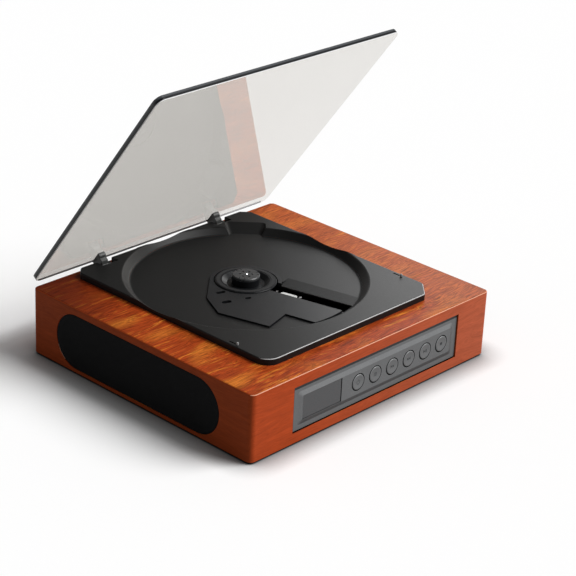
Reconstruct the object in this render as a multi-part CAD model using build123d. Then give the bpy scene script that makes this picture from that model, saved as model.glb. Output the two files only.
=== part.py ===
from build123d import *
import math
import os

# Desktop CD player: wooden cabinet, top deck with an open disc well, and a clear lid on friction hinges.
# Millimetres. X runs to the right, Y to the back, Z up. The origin is under the middle of the whole object
# with its lid open, on the plane that the rubber feet stand on.

# Cabinet
cabinet_width = 180.0
cabinet_height = 36.8
ground_gap = 1.2
wall = 6.0
top_thickness = 5.0
corner_radius = 3.0
edge_round = 0.7
seat_clearance = 0.2

# Disc well and deck
well_floor_radius = 61.8
well_wall_run = 3.9
well_depth = 3.8
deck_side_land = 2.5
deck_front_land = 16.9
deck_rear_land = 2.7
deck_setback = 15.3
deck_rear_gap = 3.2
deck_rise = 3.5
deck_skin = 1.5
floor_thickness = 1.5
front_left_round = 8.0
front_right_cut = 9.8
front_right_round = 3.5
rear_chamfer = 4.6
rear_round = 2.0
notch_angle = 45.0
notch_half_width = 9.0
notch_flare = 2.5
notch_floor_run = 2.2
notch_back_run = 8.3
opening_clearance = 0.3
opening_corner = 45.0
deck_post_radius = 3.0
deck_post_length = 4.0
deck_post_clearance = 0.3
front_post_inset_x = 14.3
front_post_inset_y = 7.0
rear_post_inset_x = 7.8
rear_post_inset_y = 12.0

# Lid and hinges
lid_side_inset = 3.0
lid_front_inset = 4.3
lid_thickness = 3.0
lid_corner = 4.5
lid_open_angle = 53.5
lid_tail = 4.7
hinge_inset = 5.1
hinge_drop = 2.9
hinge_spread = 42.8
hinge_arm_shift = -2.1
hinge_arm_width = 4.2
hinge_barrel_radius = 1.9
hinge_pin_radius = 0.9
hinge_play = 0.2
hinge_tab = 2.6
hinge_slot_clearance = 0.6
pin_running_gap = 0.05
lid_lift = 6.35
arm_pad_thickness = 2.0
arm_pad_front = 4.4
arm_pad_back = 3.6
arm_neck_front = 3.2
arm_neck_back = 1.8
ear_thickness = 1.8
bracket_base = 1.3
rest_pin_radius = 0.6
rest_pin_height = 1.45
rest_pin_seat = 0.8
rest_pin_setback = 38.4
rest_pin_spread = 62.0

# Control panel
panel_width = 125.0
panel_height = 24.5
panel_shift = 2.0
panel_bottom = 6.0
panel_thickness = 2.4
panel_gap = 0.35
panel_corner = 1.0
panel_sink = 0.8
panel_bevel = 2.4
panel_side_rim = 3.5
panel_top_rim = 3.4
panel_bottom_rim = 2.6
button_radius = 4.3
button_count = 6
button_pitch = 13.04
first_button = -13.6
button_proud = 0.3
button_travel = 0.6
button_gap = 0.5
button_rim = 0.45
button_flange = 1.2
button_flange_gap = 0.3
button_flange_thickness = 0.8
button_peg_radius = 1.5
button_peg_play = 0.2
button_dish = 0.25
button_dish_radius = 3.4
button_drop = 0.4
window_width = 28.4
window_height = 13.3
window_left = -54.3
window_lip = 1.5
window_thickness = 1.4
board_gap = 6.4
switch_reach = 2.6
panel_post_offset = 7.4
panel_post_radius = 1.6

# Side grilles and speakers
grille_end_margin = 20.5
grille_shift = 1.45
grille_height = 31.0
grille_recess = 2.5
grille_bottom = 1.8
grille_lip = 3.2
cloth_thickness = 0.6
speaker_length = 70.0
speaker_height = 26.0
speaker_mouth_height = 20.5
surround_thickness = 0.6
basket_depth = 15.0
magnet_radius = 9.0
magnet_length = 8.0

# Mechanism, in its own axes: u from the spindle along the slot, v across it, to the right of the hub
mechanism_turn = -76.0
cover_rise = 0.8
cover_thickness = 1.6
cover_lip = 2.2
cover_wall_gap = 1.6
cover_ring_width = 2.7
cover_steps = ((-5.6, -30.3), (8.7, -42.2), (38.3, -41.0), (37.9, -23.7))
cover_shoulder = (-17.6, -7.9)
cover_holes = ((-3.0, -20.7, 3.0, 1.2), (5.6, -28.9, 2.8, 1.4), (12.4, -18.4, 1.6, 1.0))
seam_gap = 0.35
slot_near = -3.4
slot_far = 7.4
slot_wall_gap = 0.5
ramp_edge = 17.0
ramp_drop = 0.7
platter_radius = 16.6
platter_gap = 0.6
platter_ring_width = 3.8
platter_ring_thickness = 1.3
platter_dish_depth = 1.9
platter_skin = 0.9
collar_radius = 4.6
collar_length = 1.8
pad_width = 2.0
pad_margin = 0.9
pad_seat = 0.4
hub_cap_thickness = 1.6
hub_radius = 7.4
hub_rise = 4.55
hub_edge = 0.5
hub_hole_count = 6
hub_hole_ring = 3.3
hub_hole_radius = 0.6
hub_hole_depth = 0.7
clip_count = 3
clip_inner = 5.4
clip_half_width = 1.2
clip_slit = 0.4
clip_depth = 1.0
disc_seat_rise = 1.25
shaft_radius = 1.0
chassis_rise = 25.0
chassis_thickness = 1.2
chassis_front = 73.0
chassis_back = 20.0
chassis_left = 38.0
chassis_right = 26.0
chassis_hole_inset = 5.0
bracket_near = 11.0
bracket_far = 69.6
bracket_skin = 1.6
chassis_hole_radius = 3.3
spindle_motor_radius = 12.0
spindle_motor_height = 9.6
sled_motor_radius = 8.5
sled_motor_height = 9.0
gear_module = 0.5
pinion_teeth = 12
wheel_teeth = 48
rack_pinion_teeth = 14
feed_gear_u = 36.0
rack_line = -19.5
gear_thickness = 1.0
tooth_backlash = 0.12
lens_start = 25.0
sled_travel = 33.0
sled_pocket_gap = 1.0
rod_radius = 1.5
rod_v = -14.5
rail_v = 13.5
rod_height = 4.0
sled_half_length = 10.0
sled_half_height = 2.4
yoke_half_length = 7.6
yoke_thickness = 0.6
yoke_upright = 1.2
lens_radius = 2.1
lens_gap = 0.45
yoke_headroom = 0.2
focus_reach = 0.3
holder_headroom = 0.35
lens_proud = 0.3

# Base and boards
base_thickness = 2.0
base_inset = 0.8
foot_radius = 7.0
foot_inset_x = 20.0
foot_inset_y = 20.0
vent_length = 22.0
vent_width = 2.4
vent_pitch = 7.0
vent_count = 6
vent_spread = 56.0
vent_inset = 34.0
block_side = 12.0
screw_radius = 1.5
screw_head_radius = 2.8
screw_head_height = 1.2
damper_radius = 4.5
damper_height = 3.0
post_radius = 3.2
board_thickness = 1.6
control_board_length = 112.0
control_board_height = 17.2
board_lift = 4.0
main_board_half = 44.0
main_board_depth = 52.0
main_board_gap = 2.0
standoff_spread = 38.0
standoff_inset = 4.0
standoff_radius = 2.5
chip_half = 8.0
chip_depth = 14.0
chip_height = 1.6
capacitor_count = 4
capacitor_radius = 3.0
capacitor_height = 7.0
capacitor_pitch = 9.0
audio_bore_radius = 1.8
power_bore_radius = 2.8
power_pin_radius = 1.0
power_collar_radius = 4.0
audio_collar_radius = 3.2
jack_half_width = 6.0
jack_body_depth = 12.0
jack_plate_width = 60.0
jack_plate_height = 20.0
jack_plate_thickness = 1.5
jack_spacing = 26.0

# Places worked out from the sizes above
open_angle = math.radians(lid_open_angle)
well_rim_radius = well_floor_radius + well_wall_run
well_setback = deck_setback + deck_front_land + well_floor_radius
deck_width = 2 * (well_floor_radius + deck_side_land)
deck_depth = deck_front_land + 2 * well_floor_radius + deck_rear_land
cabinet_depth = deck_setback + deck_depth + deck_rear_gap
hinge_setback = cabinet_depth - hinge_inset
lid_width = cabinet_width - 2 * lid_side_inset
lid_length = hinge_setback + lid_tail - lid_front_inset
grille_length = cabinet_depth - 2 * grille_end_margin
notch_floor_reach = well_floor_radius + notch_floor_run
notch_top_reach = notch_floor_reach + notch_back_run
cover_ring_radius = platter_radius + cover_ring_width
pad_outer = platter_radius - pad_margin
pad_inner = pad_outer - pad_width
lid_reach_back = (
    hinge_setback
    + lid_tail * math.cos(open_angle)
    + (lid_lift + lid_thickness) * math.sin(open_angle)
)
front = -(lid_reach_back - button_proud) / 2
back = front + cabinet_depth
half_width = cabinet_width / 2
cabinet_bottom = ground_gap
cabinet_top = cabinet_bottom + cabinet_height
ceiling = cabinet_top - top_thickness
deck_top = cabinet_top + deck_rise
well_floor = deck_top - well_depth
well_y = front + well_setback
deck_front = front + deck_setback
deck_back = deck_front + deck_depth
hinge_y = front + hinge_setback
hinge_z = deck_top - hinge_drop
cover_top = well_floor + cover_rise
base_bottom = cabinet_bottom + base_inset
base_top = base_bottom + base_thickness
inner_half_width = half_width - wall
inner_front = front + wall
inner_back = back - wall
panel_x = panel_shift
panel_z = cabinet_bottom + panel_bottom + panel_height / 2
button_z = panel_z - button_drop
window_x = window_left + window_width / 2
window_rear = front + 0.3 + window_thickness
board_front = front + panel_thickness + board_gap
switch_face = board_front - switch_reach
grille_y = (front + back) / 2 + grille_shift
grille_z = cabinet_bottom + grille_bottom + grille_height / 2
chassis_top = chassis_rise + chassis_thickness
feed_gear_v = rack_line - gear_module * rack_pinion_teeth / 2
motor_u = feed_gear_u - gear_module * (pinion_teeth + wheel_teeth) / 2
rod_z = chassis_top + rod_height
pan_underside = well_floor - floor_thickness
yoke_top = pan_underside - yoke_headroom
holder_low = rod_z + sled_half_height + yoke_thickness + lens_gap
holder_top = pan_underside - focus_reach - holder_headroom
jack_y = back - jack_plate_thickness
jack_z = base_top + board_lift + board_thickness + 5.0


def save(name, shape):
    export_step(shape, f"parts/{name}.step")


def slab(x0, x1, y0, y1, z0, z1):
    return Pos((x0 + x1) / 2, (y0 + y1) / 2, (z0 + z1) / 2) * Box(x1 - x0, y1 - y0, z1 - z0)


def post(x, y, z0, z1, radius):
    return Pos(x, y, (z0 + z1) / 2) * Cylinder(radius, z1 - z0)


def peg_y(x, z, y0, y1, radius):
    return Pos(x, (y0 + y1) / 2, z) * Rot(90, 0, 0) * Cylinder(radius, y1 - y0)


def peg_x(y, z, x0, x1, radius):
    return Pos((x0 + x1) / 2, y, z) * Rot(0, 90, 0) * Cylinder(radius, x1 - x0)


def ring_profile(points):
    """A solid turned about Z from a closed outline of (radius, height) points."""
    outline = make_face(Polyline(*[(r, 0, z) for r, z in points], close=True))
    return revolve(outline, Axis.Z)


def stadium_x(length, height, x0, x1, y, z):
    """A slot-ended plate that lies in a plane across X."""
    outline = Plane.YZ * SlotOverall(length, height)
    return Pos(0, y, z) * extrude(Pos(min(x0, x1), 0, 0) * outline, abs(x1 - x0))


def rounded_plate(width, depth, radius, z0, z1):
    return extrude(Pos(0, 0, z0) * RectangleRounded(width, depth, radius), z1 - z0)


def at_spindle(shape):
    """Carries a piece from the mechanism's own axes to its place under the well."""
    return Pos(0, well_y, 0) * Rot(0, 0, mechanism_turn) * shape


def well_frame(shape):
    return Pos(0, well_y, 0) * shape


def hinge_middle(side):
    return side * hinge_spread + hinge_arm_shift


def hinge_slot(side, z0, z1):
    """The open-backed slot in the deck and the wood that the arm and its bracket stand in."""
    middle = hinge_middle(side)
    low = middle - hinge_arm_width / 2 - hinge_play - ear_thickness
    high = middle + hinge_arm_width / 2 + 2 * hinge_play + ear_thickness + hinge_tab
    slot_front = hinge_y - arm_neck_front - hinge_slot_clearance
    return slab(low, high, slot_front, deck_back + 1.0, z0, z1)


def deck_post_places():
    places = []
    for side in (-1, 1):
        places.append((side * (deck_width / 2 - front_post_inset_x), deck_front + front_post_inset_y))
        places.append((side * (deck_width / 2 - rear_post_inset_x), deck_back - rear_post_inset_y))
    return places


def opening_outline():
    """The hole in the wooden top that the deck's pan drops through, square with large round corners."""
    side = 2 * (well_floor_radius + opening_clearance)
    return RectangleRounded(side, side, opening_corner)


def wood_cabinet():
    body = slab(-half_width, half_width, front, back, cabinet_bottom, cabinet_top)
    body = fillet(body.edges().filter_by(Axis.Z), corner_radius)
    body = fillet(body.edges().group_by(Axis.Z)[-1], edge_round)
    body -= slab(
        -inner_half_width, inner_half_width, inner_front, inner_back, cabinet_bottom - 1, ceiling
    )
    body -= well_frame(extrude(Pos(0, 0, ceiling - 1) * opening_outline(), top_thickness + 2))
    for side in (-1, 1):
        outer = side * half_width
        body -= stadium_x(
            grille_length, grille_height, outer + side, outer - side * grille_recess, grille_y, grille_z
        )
        body -= stadium_x(
            speaker_length - 2,
            speaker_mouth_height,
            outer,
            side * (inner_half_width - 1),
            grille_y,
            grille_z,
        )
        body -= hinge_slot(side, ceiling - 1, cabinet_top + 1)
    pocket_end = lens_start + sled_travel + yoke_half_length + sled_pocket_gap
    body -= at_spindle(
        slab(well_floor_radius - 12, pocket_end, -6.0, 6.0, ceiling - 1, yoke_top + sled_pocket_gap / 2)
    )
    for x, y in deck_post_places():
        body -= post(x, y, ceiling - 1, cabinet_top + 1, deck_post_radius + deck_post_clearance)
    body -= slab(
        panel_x - panel_width / 2 - panel_gap,
        panel_x + panel_width / 2 + panel_gap,
        front - 1,
        front + panel_thickness,
        panel_z - panel_height / 2 - panel_gap,
        panel_z + panel_height / 2 + panel_gap,
    )
    body -= slab(
        panel_x - panel_width / 2 + 3,
        panel_x + panel_width / 2 - 3,
        front,
        inner_front + 1,
        panel_z - panel_height / 2 + 2.5,
        panel_z + panel_height / 2 - 2.5,
    )
    body -= slab(
        -jack_plate_width / 2,
        jack_plate_width / 2,
        back - jack_plate_thickness,
        back + 1,
        jack_z - jack_plate_height / 2,
        jack_z + jack_plate_height / 2,
    )
    body -= slab(
        -jack_plate_width / 2 + 4,
        jack_plate_width / 2 - 4,
        inner_back - 1,
        back,
        jack_z - jack_plate_height / 2 + 3,
        jack_z + jack_plate_height / 2 - 3,
    )
    return body


def foot_places():
    places = []
    for x in (-1, 1):
        places.append((x * (half_width - foot_inset_x), front + foot_inset_y))
        places.append((x * (half_width - foot_inset_x), back - foot_inset_y))
    return places


def corner_places():
    inset = block_side / 2
    places = []
    for x in (-1, 1):
        places.append((x * (inner_half_width - inset), inner_front + inset))
        places.append((x * (inner_half_width - inset), inner_back - inset))
    return places


def chassis_post_places():
    """The chassis's four mounting holes, in the mechanism's own axes."""
    inset = chassis_hole_inset
    return [
        (-chassis_back + inset, -chassis_left + inset),
        (-chassis_back + inset, chassis_right - inset),
        (chassis_front - inset, -chassis_left + inset),
        (chassis_front - inset, chassis_right - inset),
    ]


def base_plate():
    plate = slab(
        -inner_half_width + seat_clearance,
        inner_half_width - seat_clearance,
        inner_front + seat_clearance,
        inner_back - seat_clearance,
        base_bottom,
        base_top,
    )
    for x, y in corner_places():
        plate -= post(x, y, base_bottom - 1, base_top + 1, screw_radius + 0.1)
        plate -= post(x, y, base_bottom - 1, base_bottom + screw_head_height, screw_head_radius + 0.2)
    vent = extrude(Pos(0, 0, base_bottom - 1) * SlotOverall(vent_length, vent_width), base_thickness + 2)
    for x in (-vent_spread, vent_spread):
        for row in range(vent_count):
            plate -= Pos(x, front + vent_inset + vent_pitch * row, 0) * vent
    damper_bottom = chassis_rise - damper_height / 2 + chassis_thickness / 2
    for u, v in chassis_post_places():
        plate += at_spindle(post(u, v, base_top, damper_bottom, post_radius))
        plate -= at_spindle(post(u, v, base_top + 4, damper_bottom + 1, screw_radius - 0.2))
    rear_row = inner_back - main_board_gap - standoff_inset
    front_row = rear_row - main_board_depth + 2 * standoff_inset
    for x in (-standoff_spread, standoff_spread):
        for y in (front_row, rear_row):
            plate += post(x, y, base_top, base_top + board_lift, standoff_radius)
    return plate


def rubber_feet():
    solids = []
    for x, y in foot_places():
        foot = post(x, y, 0, base_bottom, foot_radius)
        solids.append(chamfer(foot.edges().group_by(Axis.Z)[0], 0.5))
    return Compound(solids)


def base_screws():
    solids = []
    for x, y in corner_places():
        screw = post(x, y, base_bottom + 0.1, base_bottom + screw_head_height, screw_head_radius)
        screw += post(x, y, base_bottom + 0.1, base_top + 10, screw_radius)
        solids.append(screw)
    return Compound(solids)


def corner_blocks():
    solids = []
    half = block_side / 2
    for x, y in corner_places():
        block = slab(x - half, x + half, y - half, y + half, base_top, ceiling)
        block -= post(x, y, base_top - 1, base_top + 11, screw_radius + 0.02)
        solids.append(block)
    return Compound(solids)


def deck_outline():
    """The deck in plan: round at its front left corner, cut at the other three, with the cuts rounded off."""
    half = deck_width / 2
    points = [
        (-half, deck_front),
        (half - front_right_cut, deck_front),
        (half, deck_front + front_right_cut),
        (half, deck_back - rear_chamfer),
        (half - rear_chamfer, deck_back),
        (-half + rear_chamfer, deck_back),
        (-half, deck_back - rear_chamfer),
    ]
    outline = make_face(Polyline(*points, close=True))
    outline = fillet([v for v in outline.vertices() if v.Y > well_y], rear_round)
    outline = fillet([v for v in outline.vertices() if v.Y < well_y and v.X > 0], front_right_round)
    return fillet([v for v in outline.vertices() if v.Y < well_y and v.X < 0], front_left_round)


def well_hollow():
    """The disc well: flat floor and a sloping wall, blended at the floor and rolled over at the rim."""
    points = [
        (0, well_floor),
        (well_floor_radius, well_floor),
        (well_rim_radius, deck_top),
        (well_rim_radius + 6, deck_top),
        (well_rim_radius + 6, deck_top + 6),
        (0, deck_top + 6),
    ]
    outline = make_face(Polyline(*[(r, 0, z) for r, z in points], close=True))
    blend = [v for v in outline.vertices() if abs(v.X - well_floor_radius) < 0.01]
    outline = fillet(blend, 2.5)
    rim = [v for v in outline.vertices() if abs(v.X - well_rim_radius) < 0.01]
    outline = fillet(rim, 1.2)
    return well_frame(revolve(outline, Axis.Z))


def finger_notch():
    """A scoop beside the well for a fingertip: its back wall leans out and its flanks flare."""
    inner = well_floor_radius - 12.0
    low = Pos((inner + notch_floor_reach) / 2, 0, well_floor) * RectangleRounded(
        notch_floor_reach - inner, 2 * notch_half_width, 2.0
    )
    rise = well_depth + 0.5
    lean = (notch_top_reach - notch_floor_reach) * rise / well_depth
    flare = notch_flare * rise / well_depth
    high = Pos((inner + notch_floor_reach + lean) / 2, 0, well_floor + rise) * RectangleRounded(
        notch_floor_reach + lean - inner, 2 * (notch_half_width + flare), 2.5
    )
    scoop = loft([low, high])
    return well_frame(Rot(0, 0, notch_angle) * scoop)


def cover_outline():
    """The mechanism cover in plan, in the mechanism's axes: straight steps at the left, the well's wall at
    the far end, the slot along its right edge, and a ring round the platter."""
    reach = well_floor_radius + 3
    outline = make_face(
        Polyline(
            *cover_steps,
            (reach, cover_steps[-1][1]),
            (reach, slot_near),
            (0, slot_near),
            cover_shoulder,
            close=True,
        )
    )
    inside = Circle(well_floor_radius - cover_wall_gap)
    return (outline & inside) + Circle(cover_ring_radius)


def cover_body(grow, z0, z1):
    face = cover_outline()
    if grow != 0:
        face = offset(face, grow)
    return extrude(Pos(0, 0, z0) * face, z1 - z0)


def slot_ramp():
    """What is cut from the floor beside the slot, so that it slopes gently down to the slot's right edge."""
    slope = ramp_drop / (ramp_edge - slot_far)
    section = [
        (slot_far - 1, well_floor - ramp_drop - slope),
        (ramp_edge + 1, well_floor + slope),
        (slot_far - 1, well_floor + slope),
    ]
    face = make_face(Polyline(*[(0, v, z) for v, z in section], close=True))
    length = well_floor_radius - slot_wall_gap - platter_radius
    return Pos(platter_radius, 0, 0) * extrude(face, length, dir=(1, 0, 0))


def deck():
    outline = deck_outline()
    body = extrude(Pos(0, 0, cabinet_top) * outline, deck_rise)
    body = fillet(body.edges().group_by(Axis.Z)[-1], 0.6)
    inside = offset(outline, -deck_skin)
    body -= extrude(Pos(0, 0, cabinet_top) * inside, deck_rise - deck_skin)
    for x, y in deck_post_places():
        body += post(x, y, cabinet_top - deck_post_length, deck_top - deck_skin / 2, deck_post_radius)
    pan_bottom = pan_underside
    pan_radius = well_floor_radius + 0.1
    pan = ring_profile(
        [
            (0, pan_bottom),
            (pan_radius, pan_bottom),
            (pan_radius, cabinet_top),
            (pan_radius + 1.4, cabinet_top),
            (well_rim_radius + 1.6, deck_top),
            (0, deck_top),
        ]
    )
    scoop_floor = Rot(0, 0, notch_angle) * slab(
        well_floor_radius - 8, notch_top_reach + 1.2, -13.5, 13.5, cabinet_top, deck_top
    )
    scoop_floor += Rot(0, 0, notch_angle) * slab(
        well_floor_radius - 8, notch_floor_reach + 1.2, -10.5, 10.5, pan_bottom, cabinet_top
    )
    rim_limit = extrude(Pos(0, 0, pan_bottom) * outline, deck_top - pan_bottom)
    body += well_frame(pan + scoop_floor) & rim_limit
    body -= well_hollow()
    body -= finger_notch()
    lip_top = cover_top - cover_thickness
    body -= at_spindle(cover_body(seam_gap, lip_top, well_floor + 1))
    body -= at_spindle(cover_body(-cover_lip, pan_bottom - 1, lip_top + 0.1))
    slot_end = well_floor_radius - slot_wall_gap
    slot = slab(0, slot_end, slot_near - cover_lip - 0.1, slot_far, pan_bottom - 1, well_floor + 1)
    slot -= slab(0, slot_end, slot_near - cover_lip - 1, slot_near + 0.1, lip_top, well_floor + 2)
    body -= at_spindle(slot + slot_ramp())
    pin_y = front + rest_pin_setback
    pin_floor = deck_top - rest_pin_seat
    for side in (-1, 1):
        x = side * rest_pin_spread
        body -= hinge_slot(side, cabinet_top - 1, deck_top + 1)
        body -= slab(x - 0.45, x + 0.45, pin_y + 1.2, pin_y + 5.6, pin_floor, deck_top + 1)
        body -= post(x, pin_y, pin_floor, deck_top + 1, rest_pin_radius)
    for x, y in deck_post_places():
        body -= post(x, y, cabinet_top - deck_post_length - 1, cabinet_top + 1, screw_radius - 0.2)
    return body


def deck_screws():
    solids = []
    for x, y in deck_post_places():
        screw = post(x, y, ceiling - 1.6, ceiling, deck_post_radius + 1.2)
        screw += post(x, y, ceiling - 1.6, cabinet_top, screw_radius - 0.25)
        solids.append(screw)
    return Compound(solids)


def mechanism_cover():
    bottom = cover_top - cover_thickness
    body = cover_body(0, bottom, cover_top)
    body -= slab(0, well_floor_radius, slot_near, slot_far, bottom - 1, cover_top + 1)
    body -= post(0, 0, bottom - 1, cover_top + 1, platter_radius + platter_gap)
    for u, v, length, radius in cover_holes:
        body -= Pos(u, v, bottom - 1) * Rot(0, 0, 60) * extrude(
            SlotOverall(length + 2 * radius, 2 * radius), cover_thickness + 2
        )
    return at_spindle(body)


def spindle_shaft():
    bottom = chassis_rise - spindle_motor_height + 1
    shaft = post(0, 0, bottom, well_floor + hub_rise + 0.35, shaft_radius)
    shaft = chamfer(shaft.edges().group_by(Axis.Z)[-1], 0.3)
    return at_spindle(shaft)


def turntable():
    """The platter: an outer ring that carries the disc, a dish inside it and the collar on the shaft."""
    seat = well_floor + disc_seat_rise
    dish = seat - platter_dish_depth
    cap_bottom = well_floor + hub_rise - hub_cap_thickness
    ring_inner = platter_radius - platter_ring_width
    dish_outer = (ring_inner + hub_radius) / 2
    body = ring_profile(
        [
            (shaft_radius, dish - platter_skin - collar_length),
            (collar_radius, dish - platter_skin - collar_length),
            (collar_radius, dish - platter_skin),
            (dish_outer, dish - platter_skin),
            (ring_inner, seat - platter_ring_thickness),
            (platter_radius - 0.5, seat - platter_ring_thickness),
            (platter_radius, seat - platter_ring_thickness + 0.4),
            (platter_radius, seat - 0.4),
            (platter_radius - 0.4, seat),
            (pad_outer, seat),
            (pad_outer, seat - pad_seat),
            (pad_inner, seat - pad_seat),
            (pad_inner, seat),
            (ring_inner, seat),
            (dish_outer, dish),
            (hub_radius, dish),
            (hub_radius, cap_bottom),
            (shaft_radius, cap_bottom),
        ]
    )
    return at_spindle(body)


def disc_pad():
    seat = well_floor + disc_seat_rise
    return at_spindle(
        ring_profile(
            [
                (pad_inner, seat - pad_seat),
                (pad_outer, seat - pad_seat),
                (pad_outer, seat + 0.1),
                (pad_inner, seat + 0.1),
            ]
        )
    )


def hub_cap():
    """The cap that centres the disc, with three moulded clips and a ring of small holes."""
    top = well_floor + hub_rise
    bottom = top - hub_cap_thickness
    body = post(0, 0, bottom, top, hub_radius)
    body = chamfer(body.edges().group_by(Axis.Z)[-1], hub_edge)
    body -= post(0, 0, bottom - 1, top + 1, shaft_radius)
    for k in range(hub_hole_count):
        angle = 2 * math.pi * (k + 0.5) / hub_hole_count
        x, y = hub_hole_ring * math.cos(angle), hub_hole_ring * math.sin(angle)
        body -= post(x, y, top - hub_hole_depth, top + 1, hub_hole_radius)
    far = clip_half_width + clip_slit
    for k in range(clip_count):
        slits = slab(clip_inner, hub_radius + 1, -far, -clip_half_width, top - clip_depth, top + 1)
        slits += slab(clip_inner, hub_radius + 1, clip_half_width, far, top - clip_depth, top + 1)
        body -= Rot(0, 0, 360 * k / clip_count + 40) * slits
    return at_spindle(body)


def mechanism_chassis():
    """Pressed steel plate with upturned side flanges, rod brackets and a window for the pickup."""
    plate = slab(-chassis_back, chassis_front, -chassis_left, chassis_right, chassis_rise, chassis_top)
    plate = fillet(plate.edges().filter_by(Axis.Z), 3.0)
    plate -= slab(13.5, 69, -9.0, 11.0, chassis_rise - 1, chassis_top + 1)
    for u, v in chassis_post_places():
        plate -= post(u, v, chassis_rise - 1, chassis_top + 1, chassis_hole_radius)
    plate -= post(motor_u, feed_gear_v, chassis_rise - 1, chassis_top + 1, 2.2)
    plate -= post(0, 0, chassis_rise - 1, chassis_top + 1, 2.6)
    for u in (bracket_near, bracket_far):
        bracket = slab(u, u + bracket_skin, rod_v - 2.3, rod_v + 2.3, chassis_top, rod_z + 2.2)
        plate += bracket - Pos(u + bracket_skin / 2, rod_v, rod_z) * Rot(0, 90, 0) * Cylinder(rod_radius, 3)
        plate += slab(u, u + bracket_skin, rail_v - 2.4, rail_v + 2.4, chassis_top, rod_z - 2.3)
    plate += post(feed_gear_u, feed_gear_v, chassis_top, chassis_top + 5.6, 1.0)
    return at_spindle(plate)


def chassis_dampers():
    """Rubber grommets clipped into the chassis's corner holes."""
    middle = chassis_rise + chassis_thickness / 2
    solids = []
    for u, v in chassis_post_places():
        grommet = post(u, v, middle - damper_height / 2, middle + damper_height / 2, damper_radius)
        groove = post(u, v, chassis_rise, chassis_top, damper_radius + 1)
        groove -= post(u, v, chassis_rise, chassis_top, chassis_hole_radius)
        grommet -= groove
        grommet -= post(u, v, middle - damper_height, middle + damper_height, screw_radius)
        solids.append(at_spindle(grommet))
    return Compound(solids)


def chassis_screws():
    middle = chassis_rise + chassis_thickness / 2
    solids = []
    for u, v in chassis_post_places():
        top = middle + damper_height / 2
        screw = post(u, v, top, top + 1.4, damper_radius - 0.3)
        screw += post(u, v, middle - damper_height / 2 - 8, top, screw_radius - 0.25)
        solids.append(at_spindle(screw))
    return Compound(solids)


def spindle_motor():
    body = post(0, 0, chassis_rise - spindle_motor_height, chassis_rise, spindle_motor_radius)
    body = fillet(body.edges().group_by(Axis.Z)[0], 1.5)
    body += post(0, 0, chassis_rise, chassis_top + 0.8, 2.5)
    body -= post(0, 0, chassis_rise - spindle_motor_height + 1, chassis_top + 2, shaft_radius + 0.05)
    return at_spindle(body)


def sled_motor():
    body = post(0, 0, chassis_rise - sled_motor_height, chassis_rise, sled_motor_radius)
    body = fillet(body.edges().group_by(Axis.Z)[0], 1.2)
    body += post(0, 0, chassis_rise, chassis_top, 2.1)
    body -= post(0, 0, chassis_rise - sled_motor_height + 1, chassis_top + 1, shaft_radius + 0.05)
    return at_spindle(Pos(motor_u, feed_gear_v, 0) * body)


def gear_outline(teeth):
    """Spur gear with involute flanks, drawn with three points a flank and thinned by the backlash."""
    pitch_radius = gear_module * teeth / 2
    pressure = math.radians(20)
    base_radius = pitch_radius * math.cos(pressure)
    tip_radius = pitch_radius + 0.9 * gear_module
    root_radius = pitch_radius - 1.2 * gear_module
    half_tooth = (math.pi / 2 - tooth_backlash / gear_module) / teeth
    involute_at_pitch = math.tan(pressure) - pressure

    def flank_angle(radius):
        turn = math.acos(min(1.0, base_radius / radius))
        return half_tooth + involute_at_pitch - (math.tan(turn) - turn)

    radii = [max(base_radius, root_radius + 0.05), pitch_radius, tip_radius]
    points = []
    for k in range(teeth):
        middle = 2 * math.pi * k / teeth
        gap = math.pi / teeth
        points.append((root_radius, middle - 0.96 * gap))
        for radius in radii:
            points.append((radius, middle - flank_angle(radius)))
        for radius in reversed(radii):
            points.append((radius, middle + flank_angle(radius)))
        points.append((root_radius, middle + 0.96 * gap))
    return make_face(Polyline(*[(r * math.cos(a), r * math.sin(a)) for r, a in points], close=True))


def feed_gear():
    """Two gears in one: the wheel that the motor's pinion drives and the small one that moves the rack."""
    wheel_low = chassis_top + 0.4
    wheel_high = wheel_low + gear_thickness
    wheel = extrude(Pos(0, 0, wheel_low) * gear_outline(wheel_teeth), gear_thickness)
    wheel -= post(0, 0, wheel_low - 1, wheel_low + 0.4, 9.5) - post(0, 0, wheel_low - 2, wheel_low + 1, 4.5)
    small = Rot(0, 0, 90) * gear_outline(rack_pinion_teeth)
    body = wheel + extrude(Pos(0, 0, wheel_high) * small, 2.6)
    body -= post(0, 0, wheel_low - 1, wheel_high + 3, 1.0 + pin_running_gap)
    return at_spindle(Pos(feed_gear_u, feed_gear_v, 0) * body)


def motor_pinion():
    """Pinion on the sled motor's shaft. One tooth space faces the wheel, so that the two mesh."""
    low = chassis_top + 0.3
    turn = 180 / pinion_teeth
    body = extrude(Pos(0, 0, low) * Rot(0, 0, turn) * gear_outline(pinion_teeth), gear_thickness + 0.6)
    body += post(0, 0, chassis_rise - sled_motor_height + 1.2, low, shaft_radius)
    return at_spindle(Pos(motor_u, feed_gear_v, 0) * body)


def rack_outline(start, count):
    """Straight rack with its teeth towards the gear, in the mechanism's axes."""
    pitch = math.pi * gear_module
    slope = math.tan(math.radians(20))
    tip = 0.9 * gear_module
    root = 1.2 * gear_module
    half = pitch / 4 - tooth_backlash / 2
    points = [(start - pitch / 2, rack_line + 2.4)]
    points.append((start - pitch / 2, rack_line + root))
    for k in range(count):
        middle = start + k * pitch
        points.append((middle - half - root * slope, rack_line + root))
        points.append((middle - half + tip * slope, rack_line - tip))
        points.append((middle + half - tip * slope, rack_line - tip))
        points.append((middle + half + root * slope, rack_line + root))
    points.append((start + (count - 0.5) * pitch, rack_line + root))
    points.append((start + (count - 0.5) * pitch, rack_line + 2.4))
    return make_face(Polyline(*points, close=True))


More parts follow.
